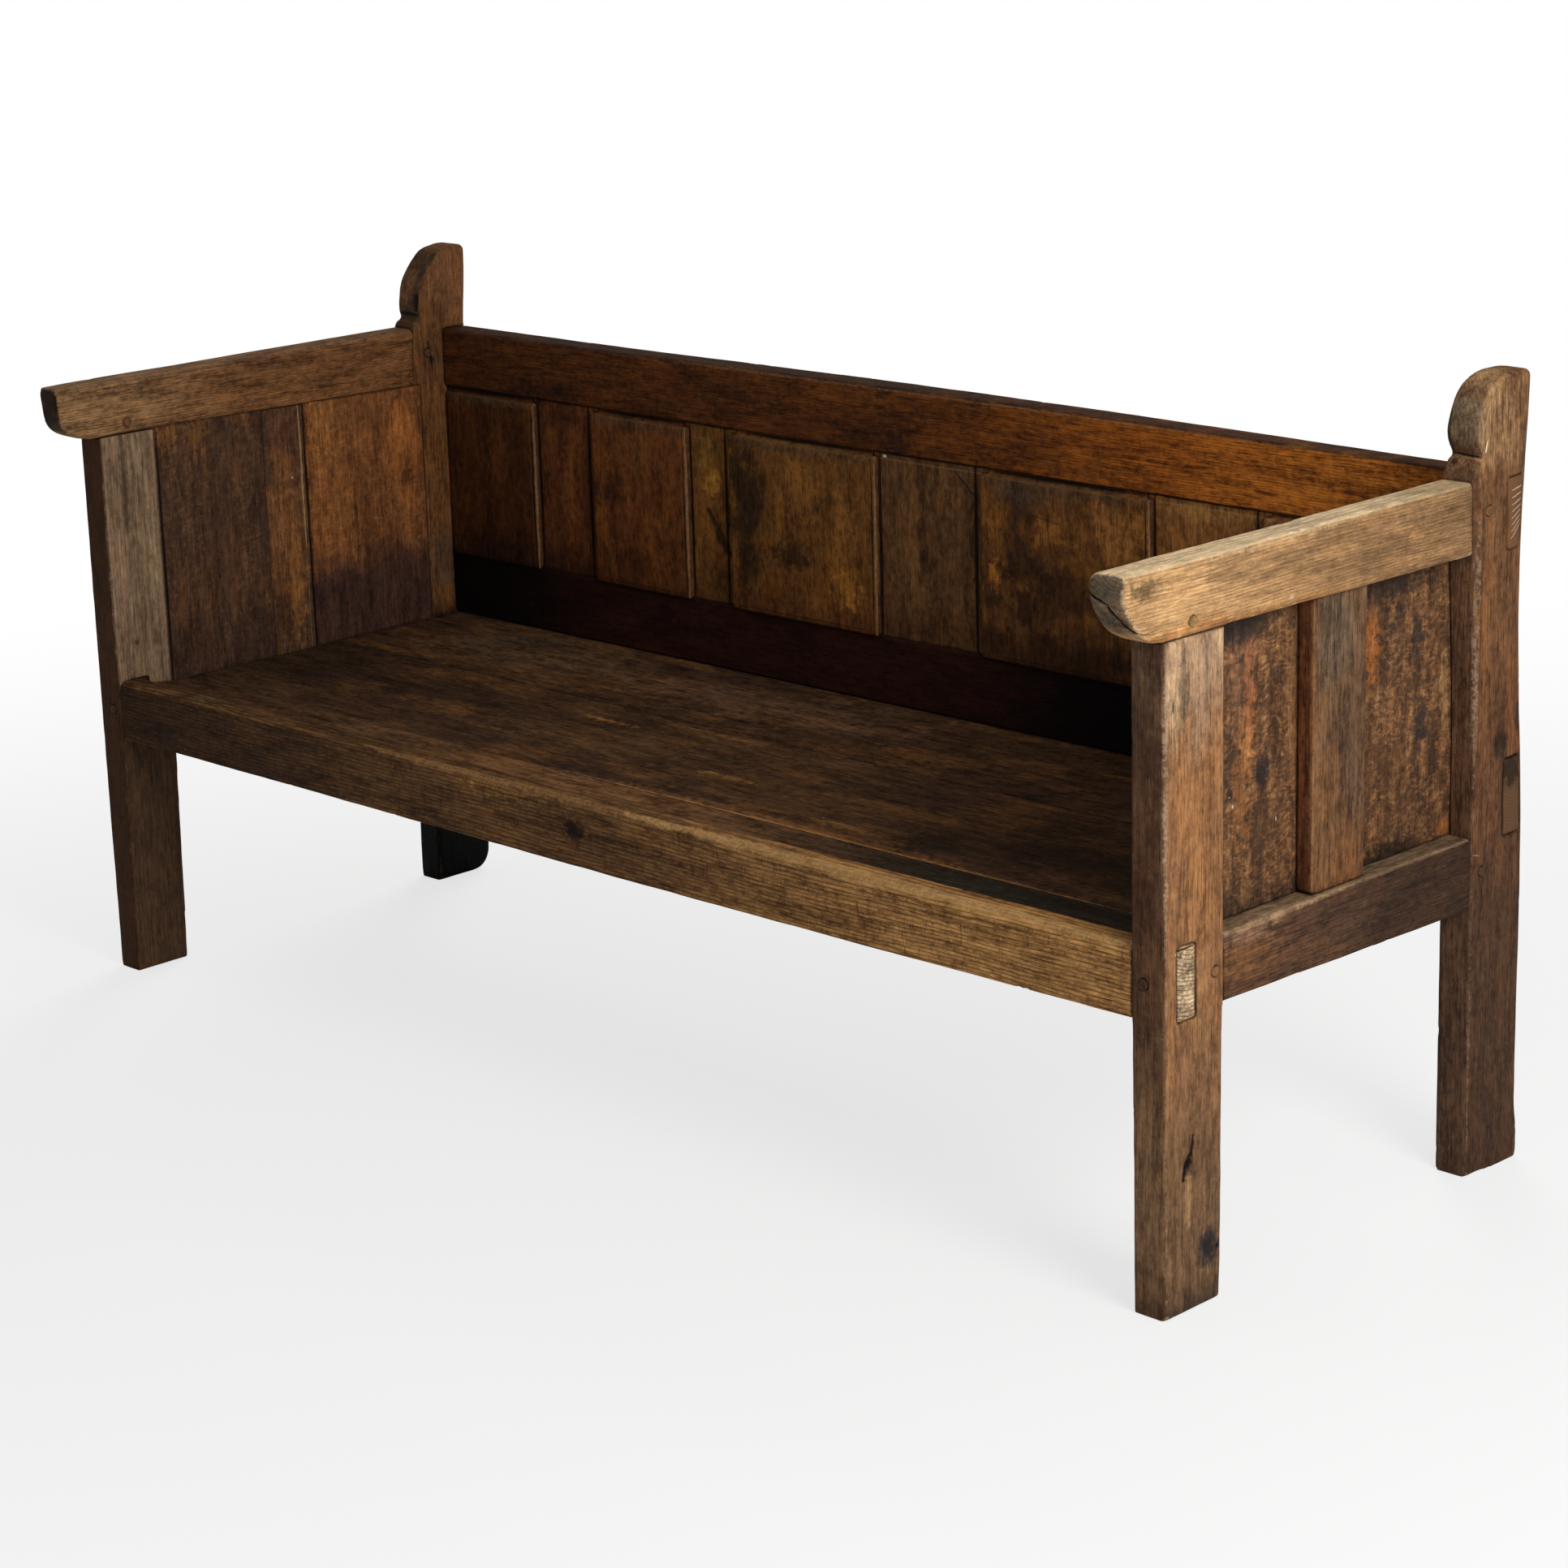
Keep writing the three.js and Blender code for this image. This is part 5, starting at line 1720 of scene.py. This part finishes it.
@dataclass
class BackFrame:
    """The back: two rails between the posts, and a row of raised and flat boards.

    The cuts across a tenon's end are listed by where they start, and the lower ones turn up more. Lengths are
    in millimetres.
    """

    top: OakFinish = OakFinish("#532d10", warm="#784519", worn="#a0703d", smoke="#28150a", ring=0.25,
                               ring_gap=3.2, smoke_share=0.5, cloud_size=50, rub=0.3, roughness=0.7,
                               contrast=1.25, soiling_and_shade=0.5)
    lower: OakFinish = OakFinish("#2d140e", warm="#381a11", worn="#4a3020", smoke="#100706", contrast=0.9,
                                 roughness=0.72, sheen=0.1, rub=0.2)
    board: OakFinish = OakFinish("#5f3b1f", warm="#85561f", worn="#a57b4a", smoke="#221409", cloud_size=40,
                                 warm_share=0.55, smoke_share=0.65, ring=0.05, rub=0.3, streak=0.12)

    tenon_cuts = (0.82, 0.72, 0.62, 0.52, 0.43, 0.34, 0.25, 0.16)
    tenon_cut_rise = 0.02
    tenon_cut_turn = 0.28
    board_seed = 22
    board_pith = (150, 30)
    board_pith_step = 17
    board_voxel = 2.2
    board_wave = 0.25

    def timbers(self) -> list[Timber]:
        """The back's pieces.

        Returns:
            The two rails and the boards.
        """
        ends = [z + self.tenon_cut_rise + self.tenon_cut_turn * (1 - z) ** 2 for z in self.tenon_cuts]
        cuts = [Line((1, 0.08, z), (1, 0.9, end), "#cdb08e", 1.5, 0.85, 1.5)
                for z, end in zip(self.tenon_cuts, ends)]
        rails = [
            Timber("back_top_rail", "back_rail_oak", self.top, Grain.LENGTH, 21, (30, 90), marks=(
                # lighter towards the right and darker at the left end: painted light falling from the right
                Fade(0, 0.45, 0.8, "#9a5618", 0.9),
                Fade(0, 0.68, 0.95, "#b36c27", 0.85),
                Fade(0, 0.2, 0.0, "#482713", 0.7),
                Stain((0.498, 0, 0.2), (30, 10, 20), "#28150a", 0.8, 0.9),
                Stain((0.33, 0, 0.75), (110, 10, 24), "#3a2010", 0.5, 0.9),
                Stain((0.14, 0, 0.15), (90, 10, 18), "#2b180c", 0.6, 0.9),
                Stain((0.62, 0, 0.3), (90, 10, 24), "#57300f", 0.4, 0.9),
                Tint(Face.TOP, "#3b281b", 0.9, 0.2),
                Tint(Face.RIGHT, "#785336", 1.0, 0.0, True),
                Tint(Face.LEFT, "#634731", 0.95, 0.1, True),
                Stain((1, 0.7, 0.5), (8, 14, 60), "#5f432d", 0.7, 0.9, True),
                *cuts,
                Line((0.02, 0, 1), (0.98, 0, 1), "#8f6b48", 1.6, 0.5, 1.5, 0.7),
            )),
            Timber("back_lower_rail", "dark_rail_oak", self.lower, Grain.LENGTH, 22, (20, 100), marks=(
                # near black at both ends: painted shadow in the corners; the back tint keeps the back brown
                Fade(0, 0.24, 0.06, "#070302", 0.97),
                Fade(0, 0.56, 0.67, "#070302", 0.98),
                Tint(Face.BACK, "#371f16", 0.95, 0.1),
                Tint(Face.RIGHT, "#674a32", 1.0, 0.0, True),
                Tint(Face.LEFT, "#4d3a2e", 0.95, 0.1, True),
                Stain((1, 0.5, 0.85), (8, 40, 26), "#241b15", 0.8, 0.9, True),
            )),
        ]
        return rails + self.boards()

    def boards(self) -> list[Timber]:
        """The row of boards from the left, raised and flat in turn.

        Returns:
            The boards, each with the lines of its edges.
        """
        timbers = []
        for number, board in enumerate(self.own_boards(), 1):
            node = f"back_board_{number}"
            edges = self.moulding(node) if number % 2 else self.shadows(node)
            # each board darkens towards its foot: painted shade at the lower back
            marks = (Fade(2, 0.35, 0.0, board.foot, 0.9), *board.marks, *edges)
            finish = replace(self.board, body=board.body, warm=board.warm)
            pith = (self.board_pith[0] + self.board_pith_step * number, self.board_pith[1])
            seed = self.board_seed + number
            timbers.append(Timber(node, "back_board_oak", finish, Grain.HEIGHT, seed, pith, self.board_voxel,
                                  wave=self.board_wave, marks=marks))
        return timbers

    @staticmethod
    def own_boards() -> list[BackBoard]:
        """What each board has of its own, from the left.

        Returns:
            The colours and marks of the nine boards.
        """
        return [
            BackBoard("#46260f", "#613815", "#29150a", (
                Stain((0.77, 0, 0.9), (13, 6, 8), "#1a0f08", 0.8, 0.9),
                Stain((0.6, 0, 0.62), (24, 6, 50), "#5c3618", 0.6, 1.1),
                Line((0.72, 0, 0.93), (0.8, 0, 0.89), "#8d6240", 0.9, 0.7, 3),
            )),
            BackBoard("#5c3419", "#75451d", "#30180c", (
                Stain((0.5, 0, 0.5), (16, 6, 70), "#7d4c22", 0.6, 0.9),
                Stain((0.45, 0, 0.88), (40, 6, 22), "#3a2110", 0.6, 0.9),
            )),
            BackBoard("#673b1b", "#7c4b1c", "#4e2910", (
                Stain((0.4, 0, 0.78), (40, 6, 34), "#764b20", 0.6, 1.1),
                Stain((0.7, 0, 0.35), (30, 6, 70), "#70431a", 0.55, 1.1),
                Stain((0.25, 0, 0.45), (20, 6, 60), "#4b2a12", 0.5, 1.1),
            )),
            BackBoard("#6f4820", "#8a5c22", "#553418", (
                Stain((0.5, 0, 0.66), (18, 6, 20), "#b07a30", 0.8, 1.1),
                Stain((0.35, 0, 0.8), (24, 6, 30), "#83602c", 0.6, 1.1),
                Stain((0.3, 0, 0.25), (16, 6, 40), "#7a5226", 0.6, 1.1),
                Line((0.4, 0, 0.52), (0.85, 0, 0.28), "#1b1009", 11, 0.8, 14),
            )),
            BackBoard("#6f4820", "#8a5b22", "#593417", (
                Stain((0.42, 0, 0.36), (44, 6, 22), "#26160b", 0.75, 0.9),
                Stain((0.8, 0, 0.25), (30, 6, 28), "#a8702f", 0.8, 1.2),
                Stain((0.6, 0, 0.16), (30, 6, 16), "#7d5022", 0.6, 1.3),
                Stain((0.5, 0, 0.7), (50, 6, 40), "#875a28", 0.6, 1.2),
                Stain((0.8, 0, 0.55), (24, 6, 50), "#8a5c2a", 0.5, 1.2),
                Stain((0.12, 0, 0.6), (36, 6, 140), "#2b1c0e", 0.9, 0.8),
                Stain((0.62, 0, 0.62), (4, 6, 7), "#1d1109", 0.8, 0.6),
            )),
            BackBoard("#634428", "#7a5430", "#54371e", (
                Stain((0.8, 0, 0.6), (14, 6, 110), "#44301c", 0.6, 0.9),
                Stain((0.35, 0, 0.5), (10, 6, 120), "#75502a", 0.6, 0.9),
                Stain((0.1, 0, 0.938), (4, 3, 2.6), "#e6e0d6", 0.95, 0.1, True),
                Line((0.7, 0, 0.93), (0.92, 0, 0.78), "#1d130b", 3.0, 0.7, 5),
                # pale line along the top edge: painted highlight
                Line((0, 0, 0.925), (1, 0, 0.925), "#8f7350", 1.4, 0.6, 1, 0.5),
            )),
            BackBoard("#64401f", "#85561f", "#452911", (
                Stain((0.02, 0, 0.935), (7, 4, 1.7), "#e6e0d6", 0.95, 0.1, True),
                Stain((0.1, 0, 0.47), (12, 6, 24), "#b5732f", 0.75, 1.2),
                Stain((0.07, 0, 0.7), (10, 6, 24), "#8f5a2a", 0.6, 1.2),
                Stain((0.38, 0, 0.7), (54, 6, 20), "#8f5d28", 0.7, 1.4),
                Stain((0.42, 0, 0.42), (100, 6, 50), "#2c1b10", 0.7, 1.2),
                Stain((0.25, 0, 0.55), (30, 6, 80), "#301e10", 0.7, 1.2),
                Stain((0.82, 0, 0.74), (46, 6, 56), "#a26d35", 0.65, 1.3),
                Stain((0.5, 0, 0.12), (140, 6, 34), "#2a190e", 0.7, 0.9),
                Stain((0.25, 0, 0.87), (50, 6, 20), "#4a3b30", 0.75, 0.9),
                Line((0.28, 0, 0.78), (0.5, 0, 0.75), "#1c110a", 1.6, 0.7, 5, 0.4),
                Line((0.4, 0, 0.84), (0.44, 0, 0.56), "#1c110a", 1.8, 0.6, 4, 0.5),
            )),
            BackBoard("#82552b", "#966533", "#63401f", (
                Stain((0.5, 0, 0.9), (90, 6, 14), "#a07743", 0.5),
                # pale line along the top edge: painted highlight
                Line((0, 0, 0.925), (1, 0, 0.925), "#a5865c", 1.4, 0.6, 1, 0.4),
            )),
            BackBoard("#82552b", "#966533", "#63401f"),
        ]

    @staticmethod
    def across(node: str, length: float) -> float:
        """A length in millimetres as a share of a board's width."""
        low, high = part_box(node)
        return length * MM / (high[0] - low[0])

    def moulding(self, node: str) -> tuple[Mark, ...]:
        """The lines along the moulded edges of a raised board: painted highlights on its bead and on its top
        and bottom edges, and painted shade in the bead's groove, above its foot and in the gap under the
        rail.

        Args:
            node: the board.

        Returns:
            The lines, and the dust along its top.
        """
        inner, dark, outer, left = (self.across(node, length) for length in (9, 6, 2.2, 2))
        return (
            Tint(Face.RIGHT, "#4c301b", 0.85, 0.3),
            Stain((0.5, 0, 0.915), (190, 6, 10), "#4e3c29", 0.65, 0.9),
            Line((1 - inner, 0, 0.05), (1 - inner, 0, 0.91), "#7f5833", 1.6, 0.45, 0.8, 0.5),
            # painted shade in the bead's groove
            Line((1 - dark, 0, 0.04), (1 - dark, 0, 0.92), "#120a06", 1.6, 0.9, 0.6),
            # painted highlight on the bead
            Line((1 - outer, 0, 0.03), (1 - outer, 0, 0.93), "#96714f", 1.8, 0.8, 1.0, 0.4),
            Line((left, 0, 0.04), (left, 0, 0.93), "#6f4e30", 1.4, 0.5, 0.6, 0.6),
            # painted highlight along the top edge
            Line((0.02, 0, 0.925), (0.98, 0, 0.925), "#6f5539", 1.5, 0.5, 0.8, 0.6),
            # painted shade above the foot
            Line((0.02, 0, 0.06), (0.98, 0, 0.06), "#170d07", 1.8, 0.7, 0.8, 0.3),
            # painted highlight on the bottom chamfer
            Line((0.02, 0, 0.035), (0.98, 0, 0.035), "#9a7450", 1.5, 0.7, 0.6, 0.5),
            # painted shadow in the gap under the rail
            Line((0, 0, 0.946), (1, 0, 0.946), "#060302", 4.0, 0.97, 0.8),
        )

    def shadows(self, node: str) -> tuple[Mark, ...]:
        """The painted shade on a flat board, beside its raised neighbours and in the gap under the rail.

        Args:
            node: the board.

        Returns:
            The lines of dirt.
        """
        left, right = self.across(node, 11.5), 1 - self.across(node, 22.5)
        return (
            # painted shadows cast by the raised neighbours
            Line((left, 0, 0), (left, 0, 1), "#070403", 2.8, 0.9, 0.8),
            Line((right, 0, 0), (right, 0, 1), "#070403", 5.0, 0.92, 1.0),
            # painted shade in the gap under the rail
            Line((0, 0, 0.958), (1, 0, 0.958), "#060302", 3.0, 0.95, 0.8),
        )


@dataclass
class SeatFrame:
    """The seat: the front rail, the boards, and what carries them from below."""

    rail: OakFinish = OakFinish("#6b4c2f", warm="#8a6238", worn="#c0945a", smoke="#37271b", ring=0.7,
                                ring_gap=4.6, contrast=1.25, rub=0.2, relief=1.4, check=0.55, sheen=0.1)
    seat: OakFinish = OakFinish("#4c3523", warm="#7a532c", worn="#a57442", smoke="#22180f", cloud_size=60,
                                ring=0.2, contrast=1.3, scuff=0.6, warm_share=0.55, smoke_share=0.6)
    strip: OakFinish = replace(seat, body="#7c5939")
    dusty: OakFinish = OakFinish("#4b3d30", warm="#57442f", worn="#6d5c49", roughness=0.85)

    def timbers(self) -> list[Timber]:
        """The seat's pieces.

        Returns:
            The front rail, the three boards, the rear rail and the bearers.
        """
        return [
            Timber("front_seat_rail", "rail_oak", self.rail, Grain.LENGTH, 31, (30, 110), marks=(
                # darker at the left end and lighter towards the right: painted light falling from the right
                Fade(0, 0.45, 0.04, "#3a2411", 0.95),
                Fade(0, 0.48, 0.88, "#b48854", 0.95),
                Stain((0.54, 0, 0.45), (60, 8, 18), "#4b3524", 0.6, 0.9),
                Stain((0.515, 0, 0.55), (26, 8, 18), "#1f1610", 0.8, 0.9),
                Stain((0.62, 0, 0.3), (80, 8, 20), "#5d4029", 0.6, 0.9),
                Stain((0.75, 0, 0.25), (70, 8, 14), "#6a482c", 0.6, 0.9),
                Stain((0.88, 0, 0.7), (60, 8, 14), "#a27a46", 0.6, 0.9),
                Stain((0.2, 0, 0.25), (90, 8, 14), "#3a2a1f", 0.5, 0.9),
                Stain((0.44, 0, 0.85), (60, 14, 12), "#a97e48", 0.6, 1.0),
                Tint(Face.TOP, "#7f5d3a", 0.75, 0.4),
                Stain((0.3, 0.6, 1), (280, 34, 14), "#54391f", 0.75, 0.6),
                Stain((0.82, 0.5, 1), (420, 40, 14), "#b98850", 0.7, 0.8),
                Stain((0.115, 0.5, 1), (38, 22, 14), "#6f5a41", 0.8, 0.5),
                Stain((1, 0.5, 0.5), (7, 60, 60), "#cdb596", 0.97, 0.1),
                Stain((0, 0.5, 0.5), (7, 60, 60), "#7d6750", 0.95, 0.1),
                Knot((0.5125, 0, 0.56), 8),
                Line((0.3, 0.12, 0.985), (0.64, 0.12, 0.985), "#ab804e", 11, 0.75, 9, 0.6),
                Line((0.56, 0.12, 0.985), (0.99, 0.12, 0.97), "#d3a56a", 13, 0.85, 9, 0.5),
                Line((1, 0.03, 0.97), (1, 0.97, 0.97), "#15100b", 1.6, 0.9, 1),
                Line((1, 0.03, 0.03), (1, 0.03, 0.97), "#15100b", 1.4, 0.8, 1, 0.5),
                Line((0.02, 1, 1), (0.98, 1, 1), "#0c0704", 3.4, 0.85, 1.5),
            )),
            Timber("seat_strip_front", "seat_oak", self.strip, Grain.LENGTH, 32, (20, 90), marks=(
                Fade(0, 0.5, 0.85, "#2a231a", 0.92),
                Fade(0, 0.4, 0.1, "#4a3423", 0.85),
                Stain((0.4, 0.6, 1), (200, 24, 8), "#7f5a34", 0.6, 1.0),
                Stain((0.85, 0.6, 1), (200, 24, 8), "#232a22", 0.5, 0.9),
                Line((0.02, 1, 1), (0.98, 1, 1), "#0c0704", 3.0, 0.9, 1.5),
            )),
            Timber("seat_board_main", "seat_oak", self.seat, Grain.LENGTH, 33, (60, 40), 4.0, marks=(
                # darker at the left end: painted shade under the left arm
                Fade(0, 0.16, 0.06, "#35271d", 0.8),
                Stain((0.06, 0.1, 1), (120, 60, 8), "#5c4530", 0.6),
                Stain((0.4, 0.45, 1), (200, 60, 8), "#66492c", 0.6, 1.0),
                Stain((0.6, 0.3, 1), (220, 60, 8), "#6b4b2a", 0.6, 1.0),
                Stain((0.52, 0.85, 1), (200, 40, 8), "#6a4c31", 0.6, 1.0),
                Stain((0.2, 0.6, 1), (160, 50, 8), "#2c1f16", 0.5, 1.1),
                Stain((0.36, 0.75, 1), (50, 7, 8), "#a97740", 0.7, 1.3),
                Stain((0.53, 0.4, 1), (44, 7, 8), "#b07d43", 0.7, 1.3),
                Stain((0.45, 0.9, 1), (60, 6, 8), "#94693a", 0.6, 1.3),
                Stain((0.3, 0.3, 1), (60, 7, 8), "#8a6136", 0.5, 1.3),
                Stain((0.68, 0.16, 1), (70, 12, 8), "#96683a", 0.6, 1.2),
                # dark right part: painted shade under the right arm
                Stain((0.88, 0.5, 1), (220, 130, 8), "#32200f", 0.8, 0.7),
                Line((0.04, 0, 1), (0.5, 0, 1), "#8f6236", 2.4, 0.65, 1.5, 0.6),
                Stain((0.66, 0.02, 1), (330, 16, 8), "#8d6138", 0.65, 0.9),
                Line((0.4, 0, 1), (0.98, 0, 1), "#c98c52", 3.8, 0.9, 2.0, 0.4),
            )),
            Timber("seat_board_rear", "seat_oak", self.seat, Grain.LENGTH, 34, (-80, 45), 4.0, marks=(
                Stain((0.15, 0.5, 1), (220, 110, 8), "#66513c", 0.6),
                Stain((0.4, 0.5, 1), (300, 80, 8), "#80604a", 0.45, 1.0),
                Stain((0.35, 0.7, 1), (160, 40, 8), "#3a2a1e", 0.5, 1.1),
                # dark right part: painted shade under the right arm
                Stain((0.9, 0.5, 1), (220, 120, 8), "#32221a", 0.7),
                Line((0.02, 0.27, 1), (0.09, 0.22, 1), depth=1.0),
                Line((0.0, 0.5, 1), (0.12, 0.42, 1), "#1a110b", 1.0, 0.8, 4),
            )),
            Timber("rear_seat_rail", "under_seat_oak", self.dusty, Grain.LENGTH, 35, (50, 60), 5.0),
            *(Timber(f"seat_bearer_{place}", "under_seat_oak", self.dusty, Grain.DEPTH, 36 + i, (50, 60), 4.0)
              for i, place in enumerate(("left", "centre", "right"))),
        ]


@dataclass
class Studio:
    """A pale floor, soft light and a camera at the photograph's viewpoint. Lengths are in metres."""

    camera_place: tuple[float, float, float] = (3.3852, -3.2767, 1.6957)
    yaw: float = 0.7874
    pitch: float = 0.2746
    roll: float = -0.0290
    lens: float = 88.26
    sensor: float = 36.0
    fill: float = 0.32
    floor_reach: float = 14.0
    floor_sides: int = 64
    floor_glow: float = 0.72
    near_floor: float = 1.0
    far_floor: float = 3.2
    floor_colour: tuple[float, float, float, float] = (0.86, 0.86, 0.85, 1.0)
    white: tuple[float, float, float, float] = (1.0, 1.0, 1.0, 1.0)

    def camera(self) -> None:
        """Sets the camera at the photograph's viewpoint."""
        data = bpy.data.cameras.new("camera")
        data.lens, data.sensor_width = self.lens, self.sensor
        flat = Vector((-math.sin(self.yaw), math.cos(self.yaw), 0))
        ahead = flat * math.cos(self.pitch) - Vector((0, 0, math.sin(self.pitch)))
        level = ahead.cross(Vector((0, 0, 1))).normalized()
        above = level.cross(ahead)
        right = level * math.cos(self.roll) + above * math.sin(self.roll)
        up = above * math.cos(self.roll) - level * math.sin(self.roll)
        holder = linked("camera", data)
        turned = Matrix((right, up, -ahead)).transposed().to_4x4()
        holder.matrix_world = Matrix.Translation(self.camera_place) @ turned
        bpy.context.scene.camera = holder

    @staticmethod
    def lamp(name: str, place: Triple, aim: Triple, size: float, power: float, gloss: bool = True) -> None:
        """Adds a round soft light.

        Args:
            name: the light's name.
            place: where it stands.
            aim: the point that it faces.
            size: its diameter.
            power: its power in watts.
            gloss: whether polished surfaces mirror it.
        """
        data = bpy.data.lights.new(name, "AREA")
        data.shape, data.size, data.energy = "DISK", size, power
        holder = linked(name, data)
        holder.location = place
        holder.rotation_euler = (Vector(aim) - Vector(place)).to_track_quat("-Z", "Y").to_euler()
        holder.visible_glossy = gloss

    def world(self) -> None:
        """Fills the room with even light, and shows the camera white."""
        shader = Shader(bpy.data.worlds.new("studio"))
        seen = shader.node("ShaderNodeLightPath", output="Is Camera Ray")
        strength = seen * (1 - self.fill) + self.fill
        light = shader.node("ShaderNodeBackground", {}, {"Color": self.white, "Strength": strength})
        shader.node("ShaderNodeOutputWorld", {}, {"Surface": light})
        bpy.context.scene.world = shader.owner

    def floor(self) -> None:
        """Lays the floor, pale near the bench and white far from it."""
        edit = bmesh.new()
        bmesh.ops.create_circle(edit, cap_ends=True, segments=self.floor_sides, radius=self.floor_reach)
        floor = linked("floor", meshed("floor", edit))
        shader = Shader(bpy.data.materials.new("pale_floor"))
        place = shader.node("ShaderNodeTexCoord", output="Object")
        seen = shader.node("ShaderNodeLightPath", output="Is Camera Ray")
        matt = shader.node("ShaderNodeBsdfDiffuse", {}, {"Color": self.floor_colour})
        glow = shader.node("ShaderNodeEmission", {}, {"Color": self.white, "Strength": 1.0})
        far = place.length().rise(self.near_floor, self.far_floor)
        share = seen * (far * (1 - self.floor_glow) + self.floor_glow)
        mixed = shader.node("ShaderNodeMixShader", {}, {0: share, 1: matt, 2: glow})
        shader.node("ShaderNodeOutputMaterial", {}, {"Surface": mixed})
        floor.data.materials.append(shader.owner)

    def build(self) -> None:
        """Sets up the whole studio."""
        self.camera()
        self.lamp("key", place=(3.1, -0.75, 2.0), aim=(0.2, 0.0, 0.5), size=1.4, power=60)
        self.lamp("rear", place=(-2.5, 3.5, 2.5), aim=(0.0, 0.0, 0.4), size=2.5, power=90, gloss=False)
        self.world()
        self.floor()
        bpy.context.scene.view_settings.view_transform = "Standard"


def main() -> None:
    """Builds the studio and the bench, assembly by assembly."""
    logging.basicConfig(level=logging.INFO, format="%(message)s")
    Studio().build()
    around = Surroundings()
    for assembly in (EndFrame(Side.LEFT), EndFrame(Side.RIGHT), BackFrame(), SeatFrame()):
        for timber in assembly.timbers():
            timber.make(around)


if __name__ == "__main__":
    main()
